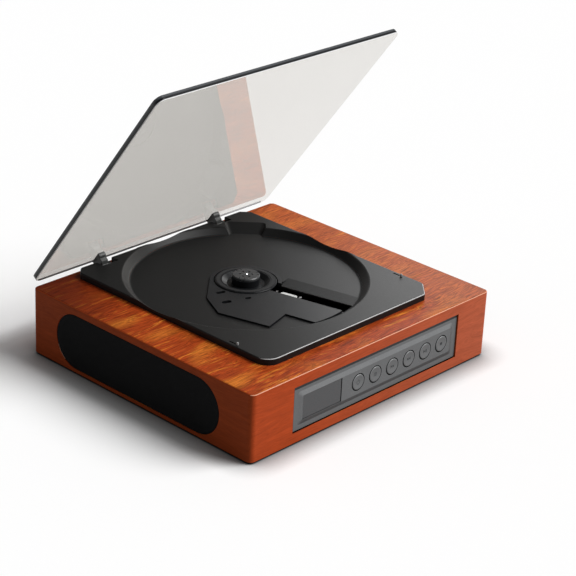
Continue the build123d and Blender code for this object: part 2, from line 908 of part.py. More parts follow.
def pickup_sled():
    """Die-cast sled: bushed side on the guide rod, forked side on the rail, and the rack on the left."""
    bottom = chassis_top + 2.3
    top = rod_z + sled_half_height
    rear = lens_start - sled_half_length
    nose = lens_start + sled_half_length
    body = slab(rear, nose, -8.6, 9.6, bottom, top)
    body = chamfer(body.edges().group_by(Axis.Z)[-1], 0.8)
    sleeve = slab(rear, nose, rod_v - 2.9, -8.6, rod_z - 2.0, rod_z + 2.2)
    sleeve -= Pos(lens_start, rod_v, rod_z) * Rot(0, 90, 0) * Cylinder(rod_radius + pin_running_gap, 30)
    body += sleeve
    fork = slab(lens_start - 3, lens_start + 3, 9.6, rail_v + 2.2, bottom, top)
    fork -= slab(lens_start - 4, lens_start + 4, rail_v - 1.3, rail_v + 4, rod_z - 2.6, rod_z - 0.3)
    body += fork
    pitch = math.pi * gear_module
    teeth_behind = math.ceil(sled_travel / pitch) + 2
    rack_low = chassis_top + 2.1
    first_tooth = feed_gear_u - pitch * (teeth_behind - 0.5)
    rack = extrude(Pos(0, 0, rack_low) * rack_outline(first_tooth, teeth_behind + 3), 1.8)
    body += rack
    return at_spindle(body)


def actuator_yoke():
    """Bright steel yoke on the sled, with an upright on each side of the lens."""
    low = rod_z + sled_half_height
    rear = lens_start - yoke_half_length
    nose = lens_start + yoke_half_length
    body = slab(rear, nose, -4.6, 4.6, low, low + yoke_thickness)
    for u in (rear, nose - yoke_upright):
        body += slab(u, u + yoke_upright, -3.4, 3.4, low, yoke_top)
    return at_spindle(body)


def lens_holder():
    body = slab(lens_start - 4.8, lens_start + 4.8, -4.2, 4.2, holder_low, holder_top)
    body = fillet(body.edges().filter_by(Axis.Z), 1.5)
    body -= post(lens_start, 0, holder_low + 1.0, holder_top + 1, lens_radius)
    body -= post(lens_start, 0, holder_low - 1, holder_top + 1, lens_radius - 0.5)
    return at_spindle(body)


def objective_lens():
    lens = post(lens_start, 0, holder_low + 1.0, holder_top + lens_proud, lens_radius)
    lens = fillet(lens.edges().group_by(Axis.Z)[-1], 0.6)
    return at_spindle(lens)


def guide_rod():
    """Runs from one bracket's outer face to the other's."""
    length = bracket_far + bracket_skin - bracket_near
    rod = Pos(bracket_near + length / 2, rod_v, rod_z) * Rot(0, 90, 0) * Cylinder(rod_radius, length)
    return at_spindle(rod)


def side_rail():
    end = bracket_far + bracket_skin
    return at_spindle(slab(bracket_near, end, rail_v - 1.0, rail_v + 2.0, rod_z - 2.3, rod_z - 0.6))


def open_lid(shape):
    """Carries a piece from the closed lid's frame, with the hinge axis as its origin, to the open place."""
    return Pos(0, hinge_y, hinge_z) * Rot(-lid_open_angle, 0, 0) * shape


def lid_sheet():
    sheet = Pos(0, lid_tail - lid_length / 2, 0) * rounded_plate(
        lid_width, lid_length, lid_corner, lid_lift, lid_lift + lid_thickness
    )
    sheet = chamfer(sheet.faces().filter_by(Axis.Z).edges(), 0.25)
    return open_lid(sheet)


def hinge_arm(side):
    """A moulded arm bonded under the lid: its neck drops through the deck's slot to the barrel."""
    low_pad = lid_lift - arm_pad_thickness
    outline = make_face(
        Polyline(
            (arm_neck_back, 0),
            (arm_neck_back, low_pad - 0.6),
            (arm_pad_back, low_pad),
            (arm_pad_back, lid_lift),
            (-arm_pad_front, lid_lift),
            (-arm_pad_front, low_pad),
            (-arm_neck_front, low_pad - 0.8),
            (-arm_neck_front, 1.6),
            (-arm_neck_back, 0),
            close=True,
        )
    )
    tip = [v for v in outline.vertices() if abs(v.X + arm_pad_front) < 0.01 and v.Y < lid_lift - 0.1]
    outline = fillet(tip, 1.7)
    outline += Circle(hinge_barrel_radius)
    outline -= Circle(hinge_pin_radius + pin_running_gap)
    middle = hinge_middle(side)
    profile = Plane(origin=(middle - hinge_arm_width / 2, 0, 0), x_dir=(0, 1, 0), z_dir=(1, 0, 0)) * outline
    return open_lid(extrude(profile, hinge_arm_width))


def hinge_bracket(side):
    """U-shaped bracket let into the wood under the slot. Its two ears hold the pin's ends."""
    middle = hinge_middle(side)
    inner = hinge_arm_width / 2 + hinge_play
    floor_z = hinge_z - hinge_barrel_radius - 0.5
    ear_front = hinge_y - hinge_barrel_radius
    ear_back = hinge_y + hinge_barrel_radius
    body = slab(
        middle - inner - ear_thickness,
        middle + inner + ear_thickness,
        ear_front,
        ear_back,
        floor_z - bracket_base,
        floor_z,
    )
    for direction in (-1, 1):
        near = middle + direction * inner
        far = near + direction * ear_thickness
        body += slab(min(near, far), max(near, far), ear_front, ear_back, floor_z, hinge_z)
        body += peg_x(hinge_y, hinge_z, min(near, far), max(near, far), hinge_barrel_radius)
    body -= peg_x(hinge_y, hinge_z, middle - 10, middle + 10, hinge_pin_radius)
    body += slab(
        middle + inner + ear_thickness,
        middle + inner + ear_thickness + hinge_tab,
        ear_front,
        ear_back,
        floor_z - bracket_base,
        floor_z,
    )
    return body


def hinge_pins():
    solids = []
    for side in (-1, 1):
        middle = hinge_middle(side)
        reach = hinge_arm_width / 2 + hinge_play + ear_thickness
        solids.append(peg_x(hinge_y, hinge_z, middle - reach, middle + reach, hinge_pin_radius))
    return Compound(solids)


def lid_rest_pins():
    solids = []
    for side in (-1, 1):
        pin = post(
            side * rest_pin_spread,
            front + rest_pin_setback,
            deck_top - rest_pin_seat,
            deck_top + rest_pin_height,
            rest_pin_radius,
        )
        solids.append(fillet(pin.edges().group_by(Axis.Z)[-1], 0.5))
    return Compound(solids)


def button_places():
    return [first_button + k * button_pitch for k in range(button_count)]


def control_panel():
    """Moulded panel: a flat rim sunk below the wood, and a field that rises from it on wide bevels."""
    x0 = panel_x - panel_width / 2
    x1 = panel_x + panel_width / 2
    z0 = panel_z - panel_height / 2
    z1 = panel_z + panel_height / 2
    rear = front + panel_thickness
    body = slab(x0, x1, front + panel_sink, rear, z0, z1)
    body = fillet(body.edges().filter_by(Axis.Y), panel_corner)
    foot_width = panel_width - 2 * panel_side_rim
    foot_height = panel_height - panel_top_rim - panel_bottom_rim
    foot_z = panel_z + (panel_bottom_rim - panel_top_rim) / 2
    foot = Plane(origin=(panel_x, front + panel_sink, foot_z), x_dir=(1, 0, 0), z_dir=(0, -1, 0))
    field = Plane(origin=(panel_x, front, foot_z), x_dir=(1, 0, 0), z_dir=(0, -1, 0))
    body += loft(
        [
            foot * RectangleRounded(foot_width, foot_height, 1.6),
            field * RectangleRounded(foot_width - 2 * panel_bevel, foot_height - 2 * panel_bevel, 0.8),
        ]
    )
    for x in button_places():
        body -= peg_y(x, button_z, front - 1, rear + 1, button_radius + button_gap)
    body -= window_block(window_lip, front - 1, rear + 1)
    body -= window_block(0, front - 1, window_rear)
    button_mid = (button_places()[-1] + button_places()[-2]) / 2
    for x in (window_x, button_mid):
        for z in (panel_z - panel_post_offset, panel_z + panel_post_offset):
            body += peg_y(x, z, rear - 0.2, board_front, panel_post_radius)
    return body


def window_block(inset, y0, y1):
    half_x = window_width / 2 - inset
    half_z = window_height / 2 - inset
    return slab(window_x - half_x, window_x + half_x, y0, y1, button_z - half_z, button_z + half_z)


def display_window():
    return window_block(0, window_rear - window_thickness, window_rear)


def display_module():
    return window_block(2.3, window_rear, board_front)


def button(index):
    """A round cap with a soft rim and a shallow dish for the fingertip, its flange and its switch peg."""
    x = button_places()[index]
    outer = front - button_proud
    flange_front = front + panel_thickness + button_flange_gap
    flange_back = flange_front + button_flange_thickness
    cap = peg_y(x, button_z, outer, flange_front, button_radius)
    cap = fillet(cap.edges().group_by(Axis.Y)[0], button_rim)
    dish_curve = (button_dish_radius**2 + button_dish**2) / (2 * button_dish)
    cap -= Pos(x, outer + button_dish - dish_curve, button_z) * Sphere(dish_curve)
    cap += peg_y(x, button_z, flange_front, flange_back, button_radius + button_flange)
    peg_end = switch_face - button_travel - button_peg_play
    cap += peg_y(x, button_z, flange_back, peg_end, button_peg_radius)
    return cap


def tact_switches():
    solids = []
    for x in button_places():
        base = slab(x - 3, x + 3, switch_face + 0.8, board_front, button_z - 3, button_z + 3)
        base += peg_y(x, button_z, switch_face, switch_face + 0.8, 1.6)
        solids.append(base)
    return Compound(solids)


def control_board():
    half = control_board_length / 2
    high = control_board_height / 2
    y1 = board_front + board_thickness
    return slab(panel_x - half, panel_x + half, board_front, y1, panel_z - high, panel_z + high)


def infrared_receiver():
    x = (button_places()[0] + window_left + window_width) / 2 - 2.2
    return slab(x - 2.6, x + 2.6, board_front - 3.6, board_front, button_z - 3, button_z + 3)


def grille_frame(side):
    outer = side * (half_width - cloth_thickness)
    inner = side * (half_width - grille_recess)
    gap = seat_clearance
    body = stadium_x(
        grille_length - 2 * gap, grille_height - 2 * gap, outer, inner, grille_y, grille_z
    )
    window = stadium_x(
        grille_length - 2 * grille_lip,
        grille_height - 2 * grille_lip,
        outer + side,
        inner - side,
        grille_y,
        grille_z,
    )
    for k in (-1, 0, 1):
        window -= slab(-200, 200, grille_y + 28 * k - 1, grille_y + 28 * k + 1, 0, 60)
    return body - window


def grille_cloth(side):
    gap = seat_clearance
    return stadium_x(
        grille_length - 2 * gap,
        grille_height - 2 * gap,
        side * (half_width - cloth_thickness),
        side * half_width,
        grille_y,
        grille_z,
    )


def speaker_basket(side):
    """Pressed racetrack basket: flange against the cabinet wall, tapering to the magnet."""
    wall_x = side * (inner_half_width - surround_thickness)
    flange = stadium_x(
        speaker_length + 8, speaker_height, wall_x, wall_x - side * 1.2, grille_y, grille_z
    )
    mouth = Plane(origin=(wall_x - side * 1.2, grille_y, grille_z), x_dir=(0, 1, 0), z_dir=(-side, 0, 0))
    rear = mouth.offset(basket_depth - 1.2)
    shell = loft([mouth * SlotOverall(speaker_length, 22.5), rear * SlotOverall(30, 18.5)])
    shell += flange
    wide = mouth.offset(-1.3)
    deep = mouth.offset(basket_depth - 2.0)
    shell -= loft([wide * SlotOverall(speaker_length - 2.4, 20.5), deep * SlotOverall(27, 16.0)])
    return shell


def speaker_cone(side):
    wall_x = side * inner_half_width
    surround = stadium_x(
        speaker_length + 8, speaker_height, wall_x, wall_x - side * surround_thickness, grille_y, grille_z
    )
    mouth = Plane(origin=(wall_x, grille_y, grille_z), x_dir=(0, 1, 0), z_dir=(-side, 0, 0))
    deep = mouth.offset(9.6)
    outer = loft([mouth * SlotOverall(speaker_length - 8, 17.0), deep * SlotOverall(20, 9.0)])
    above = mouth.offset(-0.4)
    inner = loft([above * SlotOverall(speaker_length - 9.4, 15.8), mouth.offset(8.8) * SlotOverall(18, 7.6)])
    return surround + outer - inner


def speaker_magnet(side):
    start = side * (inner_half_width - surround_thickness - basket_depth)
    return peg_x(
        grille_y,
        grille_z,
        min(start, start - side * magnet_length),
        max(start, start - side * magnet_length),
        magnet_radius,
    )


def main_board():
    """Board on its standoffs, with the decoder chip and a row of capacitors."""
    low = base_top + board_lift
    top = low + board_thickness
    y1 = inner_back - main_board_gap
    y0 = y1 - main_board_depth
    body = slab(-main_board_half, main_board_half, y0, y1, low, top)
    body += slab(-chip_half, chip_half, y0 + 6, y0 + 6 + chip_depth, top, top + chip_height)
    for k in range(capacitor_count):
        x = 8 - main_board_half + capacitor_pitch * k
        body += post(x, y1 - 20, top, top + capacitor_height, capacitor_radius)
    body += slab(main_board_half - 18, main_board_half - 4, y0 + 8, y0 + 18, top, top + 5)
    for u, v in chassis_post_places():
        body -= at_spindle(post(u, v, low - 1, top + 8, post_radius + 1.0))
    return body


def jack_body(x):
    half = jack_half_width
    low = base_top + board_lift + board_thickness
    return slab(x - half, x + half, jack_y - jack_body_depth, jack_y, low, jack_z + 4.5)


def power_jack():
    x = -jack_spacing / 2
    body = jack_body(x) + peg_y(x, jack_z, jack_y, back, power_collar_radius)
    body -= peg_y(x, jack_z, jack_y - 9, back + 1, power_bore_radius)
    body += peg_y(x, jack_z, jack_y - 9.5, back - 1.5, power_pin_radius)
    return body


def audio_jack():
    x = jack_spacing / 2
    body = jack_body(x) + peg_y(x, jack_z, jack_y, back, audio_collar_radius)
    body -= peg_y(x, jack_z, jack_y - jack_body_depth + 1, back + 1, audio_bore_radius)
    return body


def rear_jack_plate():
    plate = slab(
        -jack_plate_width / 2 + seat_clearance,
        jack_plate_width / 2 - seat_clearance,
        back - jack_plate_thickness,
        back,
        jack_z - jack_plate_height / 2 + seat_clearance,
        jack_z + jack_plate_height / 2 - seat_clearance,
    )
    plate -= peg_y(-jack_spacing / 2, jack_z, jack_y - 1, back + 1, power_collar_radius + 0.1)
    plate -= peg_y(jack_spacing / 2, jack_z, jack_y - 1, back + 1, audio_collar_radius + 0.1)
    return plate


def main():
    os.makedirs("parts", exist_ok=True)
    save("wood_cabinet", wood_cabinet())
    save("base_plate", base_plate())
    save("rubber_feet", rubber_feet())
    save("base_screws", base_screws())
    save("corner_blocks", corner_blocks())
    save("deck", deck())
    save("deck_screws", deck_screws())
    save("mechanism_cover", mechanism_cover())
    save("spindle_shaft", spindle_shaft())
    save("turntable", turntable())
    save("disc_pad", disc_pad())
    save("hub_cap", hub_cap())
    save("mechanism_chassis", mechanism_chassis())
    save("chassis_dampers", chassis_dampers())
    save("chassis_screws", chassis_screws())
    save("spindle_motor", spindle_motor())
    save("sled_motor", sled_motor())
    save("feed_gear", feed_gear())
    save("motor_pinion", motor_pinion())
    save("pickup_sled", pickup_sled())
    save("actuator_yoke", actuator_yoke())
    save("lens_holder", lens_holder())
    save("objective_lens", objective_lens())
    save("guide_rod", guide_rod())
    save("side_rail", side_rail())
    save("lid_sheet", lid_sheet())
    save("hinge_pins", hinge_pins())
    save("lid_rest_pins", lid_rest_pins())
    for name, side in (("left", -1), ("right", 1)):
        save(f"hinge_arm_{name}", hinge_arm(side))
        save(f"hinge_bracket_{name}", hinge_bracket(side))
        save(f"grille_frame_{name}", grille_frame(side))
        save(f"grille_cloth_{name}", grille_cloth(side))
        save(f"speaker_basket_{name}", speaker_basket(side))
        save(f"speaker_cone_{name}", speaker_cone(side))
        save(f"speaker_magnet_{name}", speaker_magnet(side))
    save("control_panel", control_panel())
    save("display_window", display_window())
    save("display_module", display_module())
    save("control_board", control_board())
    save("tact_switches", tact_switches())
    save("infrared_receiver", infrared_receiver())
    for index, name in enumerate(("power", "function", "previous", "next", "play", "stop")):
        save(f"button_{name}", button(index))
    save("main_board", main_board())
    save("rear_jack_plate", rear_jack_plate())
    save("power_jack", power_jack())
    save("audio_jack", audio_jack())


main()
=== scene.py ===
"""Looks for a wooden desktop CD player with its clear lid open. All lengths are in metres."""

import math

import bpy
import numpy as np
from mathutils import Matrix, Vector


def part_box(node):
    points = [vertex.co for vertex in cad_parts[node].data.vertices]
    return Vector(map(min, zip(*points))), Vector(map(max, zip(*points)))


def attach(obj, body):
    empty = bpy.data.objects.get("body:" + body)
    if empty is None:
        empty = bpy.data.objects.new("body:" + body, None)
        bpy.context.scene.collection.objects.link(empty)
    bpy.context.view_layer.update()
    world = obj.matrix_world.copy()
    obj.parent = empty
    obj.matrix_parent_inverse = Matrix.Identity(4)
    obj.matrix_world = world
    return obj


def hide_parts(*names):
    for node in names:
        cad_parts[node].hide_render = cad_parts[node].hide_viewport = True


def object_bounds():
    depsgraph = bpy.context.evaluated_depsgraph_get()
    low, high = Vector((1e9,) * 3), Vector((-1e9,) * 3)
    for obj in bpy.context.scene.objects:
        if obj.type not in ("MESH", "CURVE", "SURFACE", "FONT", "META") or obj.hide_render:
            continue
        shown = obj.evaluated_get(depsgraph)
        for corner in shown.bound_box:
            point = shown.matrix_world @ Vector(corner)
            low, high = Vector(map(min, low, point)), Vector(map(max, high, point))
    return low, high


bl_info = {
    "name": "Desktop CD Player",
    "version": (1, 0, 0),
    "blender": (4, 5, 0),
    "location": "3D View > Sidebar > CD Player",
    "description": "Veneer, plastics, cloth, metals and small moulded details for a desktop CD player",
    "category": "Object",
}

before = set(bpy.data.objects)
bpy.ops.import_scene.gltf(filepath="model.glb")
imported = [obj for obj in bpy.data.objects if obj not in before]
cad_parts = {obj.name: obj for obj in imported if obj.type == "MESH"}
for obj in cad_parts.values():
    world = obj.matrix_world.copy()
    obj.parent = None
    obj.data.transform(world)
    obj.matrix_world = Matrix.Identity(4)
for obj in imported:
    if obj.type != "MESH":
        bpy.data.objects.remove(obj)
cad_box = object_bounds()
KEYS = ("power", "function", "previous", "next", "play", "stop")
# Two corners of the pocket behind the cabinet's front, in which the control panel sits; its walls get painted
# shade.
POCKET = ((-0.0642, -0.0831, 0.0036), (0.0642, -0.0600, 0.0356))
# Two corners of the space over the deck's edge and in front of its well, where the edge gets a painted
# highlight line.
LIT_EDGE = ((-1.0, -1.0, 0.0412), (1.0, -0.050, 1.0))
# The sides of a raised piece that get painted shade, each an axis, a place on it and a test: behind the
# panel's rim, and the lines at its left and top that lie in the shade of the wood. A button gets painted
# shade behind its rim only.
PANEL_SHADE = ((1, -0.0824, "GREATER_THAN"), (0, -0.0598, "LESS_THAN"), (2, 0.03005, "GREATER_THAN"))
BUTTON_SHADE = ((1, -0.08255, "GREATER_THAN"),)


def linear(code):
    """An sRGB hex colour as linear red, green, blue and alpha."""
    parts = [int(code[k : k + 2], 16) / 255 for k in (1, 3, 5)]
    return tuple([((c + 0.055) / 1.055) ** 2.4 if c > 0.04045 else c / 12.92 for c in parts] + [1.0])


def colour_prop(name, description, code):
    """A colour that a user may change, from an sRGB hex value."""
    return bpy.props.FloatVectorProperty(
        name=name, description=description, default=linear(code), size=4, subtype="COLOR", min=0.0, max=1.0
    )


def length_prop(name, description, default):
    """A length in metres that a user may change."""
    return bpy.props.FloatProperty(
        name=name, description=description, default=default, min=0.0, unit="LENGTH", precision=5
    )


def place_prop(name, description, default):
    """A place in metres that a user may change."""
    return bpy.props.FloatVectorProperty(
        name=name, description=description, default=default, size=3, subtype="TRANSLATION", precision=5
    )


def angle_prop(name, description, degrees):
    """An angle that a user may change."""
    return bpy.props.FloatProperty(
        name=name, description=description, default=math.radians(degrees), subtype="ANGLE"
    )


def share_prop(name, description, default, most=1.0):
    """A strength or a share that a user may change."""
    return bpy.props.FloatProperty(name=name, description=description, default=default, min=0.0, max=most)


class CabinetSettings(bpy.types.PropertyGroup):
    """Colours and grain sizes of the cabinet's veneer"""

    light_wood: colour_prop("Light wood", "The pale, glowing bands of the veneer's figure", "#DA8430")
    middle_wood: colour_prop("Middle wood", "The veneer's main colour", "#A6431A")
    dark_wood: colour_prop("Dark wood", "Pores and dark growth lines", "#451408")
    # Painted sheen over the right end of the top.
    sheen_wood: colour_prop("Quiet wood", "The even leaf at the right end of the top", "#AE5C30")
    front_wood: colour_prop("Front wood", "The plainer, redder veneer on the front", "#B44A25")
    side_wood: colour_prop("Side wood", "The browner veneer on the sides", "#A04623")
    # Painted highlight on the rounded top front edge, and painted light at the front's right end.
    highlight_wood: colour_prop("Edge wood", "The pale line along the rounded top front edge", "#DDA58A")
    # Painted shade in the control panel's pocket.
    pocket_shade: colour_prop("Pocket paint", "Black paint in the control panel's pocket", "#050404")
    wander_length: length_prop("Wander length", "Length of one bend of the grain", 0.055)
    wander_width: length_prop("Wander width", "Width of grain that bends together", 0.016)
    drift: length_prop("Drift", "How far the grain wanders sideways", 0.013)
    cloud_length: length_prop("Cloud length", "Length of one glowing patch", 0.038)
    cloud_width: length_prop("Cloud width", "Width of one glowing patch", 0.020)
    figure_length: length_prop("Figure length", "Length of one colour band along the grain", 0.028)
    figure_width: length_prop("Figure width", "Width of one colour band across the grain", 0.0027)
    streak_length: length_prop("Streak length", "Length of a dark growth line along the grain", 0.013)
    streak_width: length_prop("Streak width", "Width of a dark growth line", 0.0008)
    fibre_length: length_prop("Fibre length", "Length of a fine fibre line along the grain", 0.0100)
    fibre_width: length_prop("Fibre width", "Width of a fine fibre line, coarse enough to show", 0.00042)


class PlasticSettings(bpy.types.PropertyGroup):
    """Colours and texture size of the moulded plastics"""

    deck: colour_prop("Deck", "Black moulded deck", "#141414")
    # Colour of the painted highlight line on the deck's front edge.
    lit_edge: colour_prop("Lit edge", "The hair line of light on the deck's front edge", "#B8B8B8")
    cover: colour_prop("Cover", "Black mechanism cover", "#161719")
    panel: colour_prop("Panel", "Grey control panel", "#626364")
    button: colour_prop("Button", "Grey buttons", "#5E5F60")
    symbol: colour_prop("Symbol", "Printed symbols on the buttons", "#232527")
    window: colour_prop("Window", "Smoked display window", "#26272A")
    spark: length_prop("Spark grain", "Size of one grain of the moulded spark texture", 0.0007)
    fine_spark: length_prop("Fine spark grain", "Size of one grain on the panel and its buttons", 0.0005)


class LidSettings(bpy.types.PropertyGroup):
    """Colours and sizes of the lid's sheet"""

    tint: colour_prop("Tint", "Colour that the clear sheet lets through", "#DDDAD5")
    # Painted shade: the sheet's edges are drawn near-black, as they pipe light away.
    edge: colour_prop("Edge", "Near-black look of the sheet's polished edges", "#15171A")
    hinge: place_prop("Hinge axis", "A point on the lid's hinge axis", (0.0, 0.073294, 0.0386))
    swing: angle_prop("Swing", "How far the lid stands open at rest", 53.5)
    middle: length_prop("Middle", "Height of the sheet's middle over the hinge axis when shut", 0.00785)
    thickness: length_prop("Thickness", "Thickness of the sheet", 0.003)
    heel: length_prop("Heel", "How far the sheet reaches behind the hinge axis when shut", 0.0047)


class StageSettings(bpy.types.PropertyGroup):
    """The studio's floor, lamps and camera"""

    floor: colour_prop("Floor", "Studio floor", "#FFFFFF")
    reach: length_prop("Reach", "Half the side of the floor", 4.0)
    # Reach of the floor's painted contact shadow.
    contact: length_prop("Contact shade", "How near the object the floor darkens", 0.016)
    bounce: share_prop("Bounce", "Share of the floor's white that lights the object from below", 0.32)
    fill: share_prop("Fill", "Even light from all round", 0.22, most=2.0)
    ceiling: share_prop("Ceiling", "Brightness of the studio's ceiling in a reflection", 0.12)
    key_place: place_prop("Key place", "Where the key light stands", (0.50, -0.55, 0.72))
    key_spread: angle_prop("Key spread", "How broad the key light looks", 38)
    key_strength: share_prop("Key strength", "Strength of the key light", 3.5, most=10.0)
    softbox_place: place_prop("Softbox place", "Where the side softbox stands", (0.42, 0.17, 0.22))
    softbox_side: length_prop("Softbox side", "Side of the square softbox", 0.22)
    softbox_power: share_prop("Softbox power", "Power of the softbox in watts", 0.78, most=10.0)
    eye: place_prop("Camera place", "Where the camera stands", (-0.6797, -0.6430, 0.4714))
    target: place_prop("Camera target", "The point in the middle of the picture", (0.03495, 0.01204, 0.0228))
    roll: angle_prop("Camera roll", "How far the camera leans", 2.75)
    lens: bpy.props.FloatProperty(
        name="Camera lens", description="Focal length in millimetres on a 36 mm sensor", default=121.76, min=1
    )


def put(tree, kind, inputs=None, stops=(), **settings):
    """Adds one shader node with its settings and links. An input is given by its number or by its name, for
    the first live input with that name. It takes a value, a socket, or a node, whose first live output is
    meant. stops are a colour ramp's places and colours."""
    made = tree.nodes.new(kind)
    for key, value in settings.items():
        setattr(made, key, value)
    for count, (position, colour) in enumerate(stops):
        elements = made.color_ramp.elements
        element = elements[count] if count < 2 else elements.new(position)
        element.position, element.color = position, colour
    for key, value in (inputs or {}).items():
        live = [socket for socket in made.inputs if socket.enabled and socket.name == key]
        taker = live[0] if live else made.inputs[key]
        if isinstance(value, bpy.types.Node):
            value = next(socket for socket in value.outputs if socket.enabled)
        if isinstance(value, bpy.types.NodeSocket):
            tree.links.new(value, taker)
        else:
            taker.default_value = value
    return made


def new_material(name):
    """A material and its empty node tree."""
    material = bpy.data.materials.new(name)
    material.use_nodes = True
    tree = material.node_tree
    tree.nodes.clear()
    return material, tree


def per_metre(*sizes):
    """Pattern units for each metre along each axis, from the real size of one cell of the pattern."""
    return tuple(1 / size for size in (sizes if len(sizes) == 3 else sizes * 3))


def tone(colour, share):
    """A linear colour made lighter or darker by a share."""
    return tuple([c * share for c in colour[:3]] + [1.0])


def grain(tree, place, *sizes, detail=2.0, roughness=0.5):
    """A noise pattern whose cells have a real size along each axis."""
    scaled = put(tree, "ShaderNodeMapping", {"Vector": place, "Scale": per_metre(*sizes)})
    return put(
        tree, "ShaderNodeTexNoise",
        {"Vector": scaled, "Scale": 1.0, "Detail": detail, "Roughness": roughness},
    )


def mottled(tree, pattern, colour, dark, light):
    """A colour that a pattern takes from one share of itself to another."""
    ends = {"Factor": pattern, "A": tone(colour, dark), "B": tone(colour, light)}
    return put(tree, "ShaderNodeMix", ends, data_type="RGBA")


def normal_parts(tree):
    """The three parts of the surface's normal."""
    return put(tree, "ShaderNodeSeparateXYZ", {0: put(tree, "ShaderNodeNewGeometry").outputs["Normal"]})


def inside(tree, parts, corners):
    """One where a point lies between two corners, and nought elsewhere: six tests, multiplied."""
    found = 1.0
    for corner, test in zip(corners, ("GREATER_THAN", "LESS_THAN")):
        for part, limit in zip(parts.outputs, corner):
            passed = put(tree, "ShaderNodeMath", {0: part, 1: limit}, operation=test)
            found = put(tree, "ShaderNodeMath", {0: found, 1: passed}, operation="MULTIPLY")
    return found


def figured_leaf(tree, settings, parts, band, cloud):
    """The top's leaf: bands from dark to light along the grain, patches that glow, and a painted sheen that
    evens and pales it towards the right edge."""
    figure = put(
        tree, "ShaderNodeValToRGB", {"Fac": band},
        stops=[
            (0.32, tone(settings.middle_wood, 0.60)), (0.45, tone(settings.middle_wood, 0.88)),
            (0.55, settings.middle_wood), (0.70, tone(settings.light_wood, 0.9)),
        ],
    )
    glow = put(
        tree, "ShaderNodeMapRange", {"Value": cloud, "From Min": 0.50, "From Max": 0.72, "To Max": 0.58}
    )
    figure = put(
        tree, "ShaderNodeMix", {"Factor": glow, "A": figure, "B": settings.light_wood}, data_type="RGBA"
    )
    # Painted sheen: the top turns even and paler towards its right end.
    painted_sheen = put(
        tree, "ShaderNodeMapRange",
        {"Value": parts.outputs[0], "From Min": 0.04, "From Max": 0.07, "To Max": 0.6},
    )
    return put(
        tree, "ShaderNodeMix", {"Factor": painted_sheen, "A": figure, "B": settings.sheen_wood}, data_type="RGBA"
    )


def plain_leaf(tree, settings, parts, side, band):
    """The upright faces' leaf: redder on the front, with painted light that pales it towards its right end,
    browner on the sides, and only faintly banded."""
    # Painted light: the front pales towards its right end.
    pale = put(
        tree, "ShaderNodeMapRange",
        {"Value": parts.outputs[0], "From Min": -0.06, "From Max": 0.09, "To Max": 0.15},
    )
    front = put(
        tree, "ShaderNodeMix", {"Factor": pale, "A": settings.front_wood, "B": settings.highlight_wood},
        data_type="RGBA",
    )
    upright = put(
        tree, "ShaderNodeMix", {"Factor": side, "A": front, "B": settings.side_wood}, data_type="RGBA"
    )
    shaded = put(
        tree, "ShaderNodeMapRange",
        {"Value": band, "From Min": 0.3, "From Max": 0.7, "To Min": 0.86, "To Max": 1.08},
    )
    return put(tree, "ShaderNodeVectorMath", {0: upright, "Scale": shaded}, operation="SCALE")


def growth_lines(tree, settings, wood, parts, up, fibre, dark):
    """Fine fibres and dark growth lines over a leaf. Both are stronger on the top, which also darkens
    towards its back left corner."""
    swing = put(tree, "ShaderNodeMapRange", {"Value": up, "To Min": 0.10, "To Max": 0.44})
    lines = put(
        tree, "ShaderNodeMapRange",
        {"Value": fibre, "From Min": 0.35, "From Max": 0.65, "To Min": -1.0, "To Max": 0.75},
    )
    lines = put(tree, "ShaderNodeMath", {0: lines, 1: swing, 2: 1.0}, operation="MULTIPLY_ADD")
    wood = put(tree, "ShaderNodeVectorMath", {0: wood, "Scale": lines}, operation="SCALE")
    corner = put(tree, "ShaderNodeMath", {0: parts.outputs[1], 1: parts.outputs[0]}, operation="SUBTRACT")
    corner = put(
        tree, "ShaderNodeMapRange", {"Value": corner, "From Min": 0.080, "From Max": 0.145, "To Max": 0.78}
    )
    corner = put(tree, "ShaderNodeMath", {0: corner, 1: up}, operation="MULTIPLY")
    share = put(tree, "ShaderNodeMapRange", {"Value": up, "To Min": 0.12, "To Max": 0.48})
    depth = put(tree, "ShaderNodeMath", {0: dark, 1: share}, operation="MULTIPLY")
    for amount in (corner, depth):
        stain = {"Factor": amount, "A": wood, "B": settings.dark_wood}
        wood = put(tree, "ShaderNodeMix", stain, data_type="RGBA")
    return wood


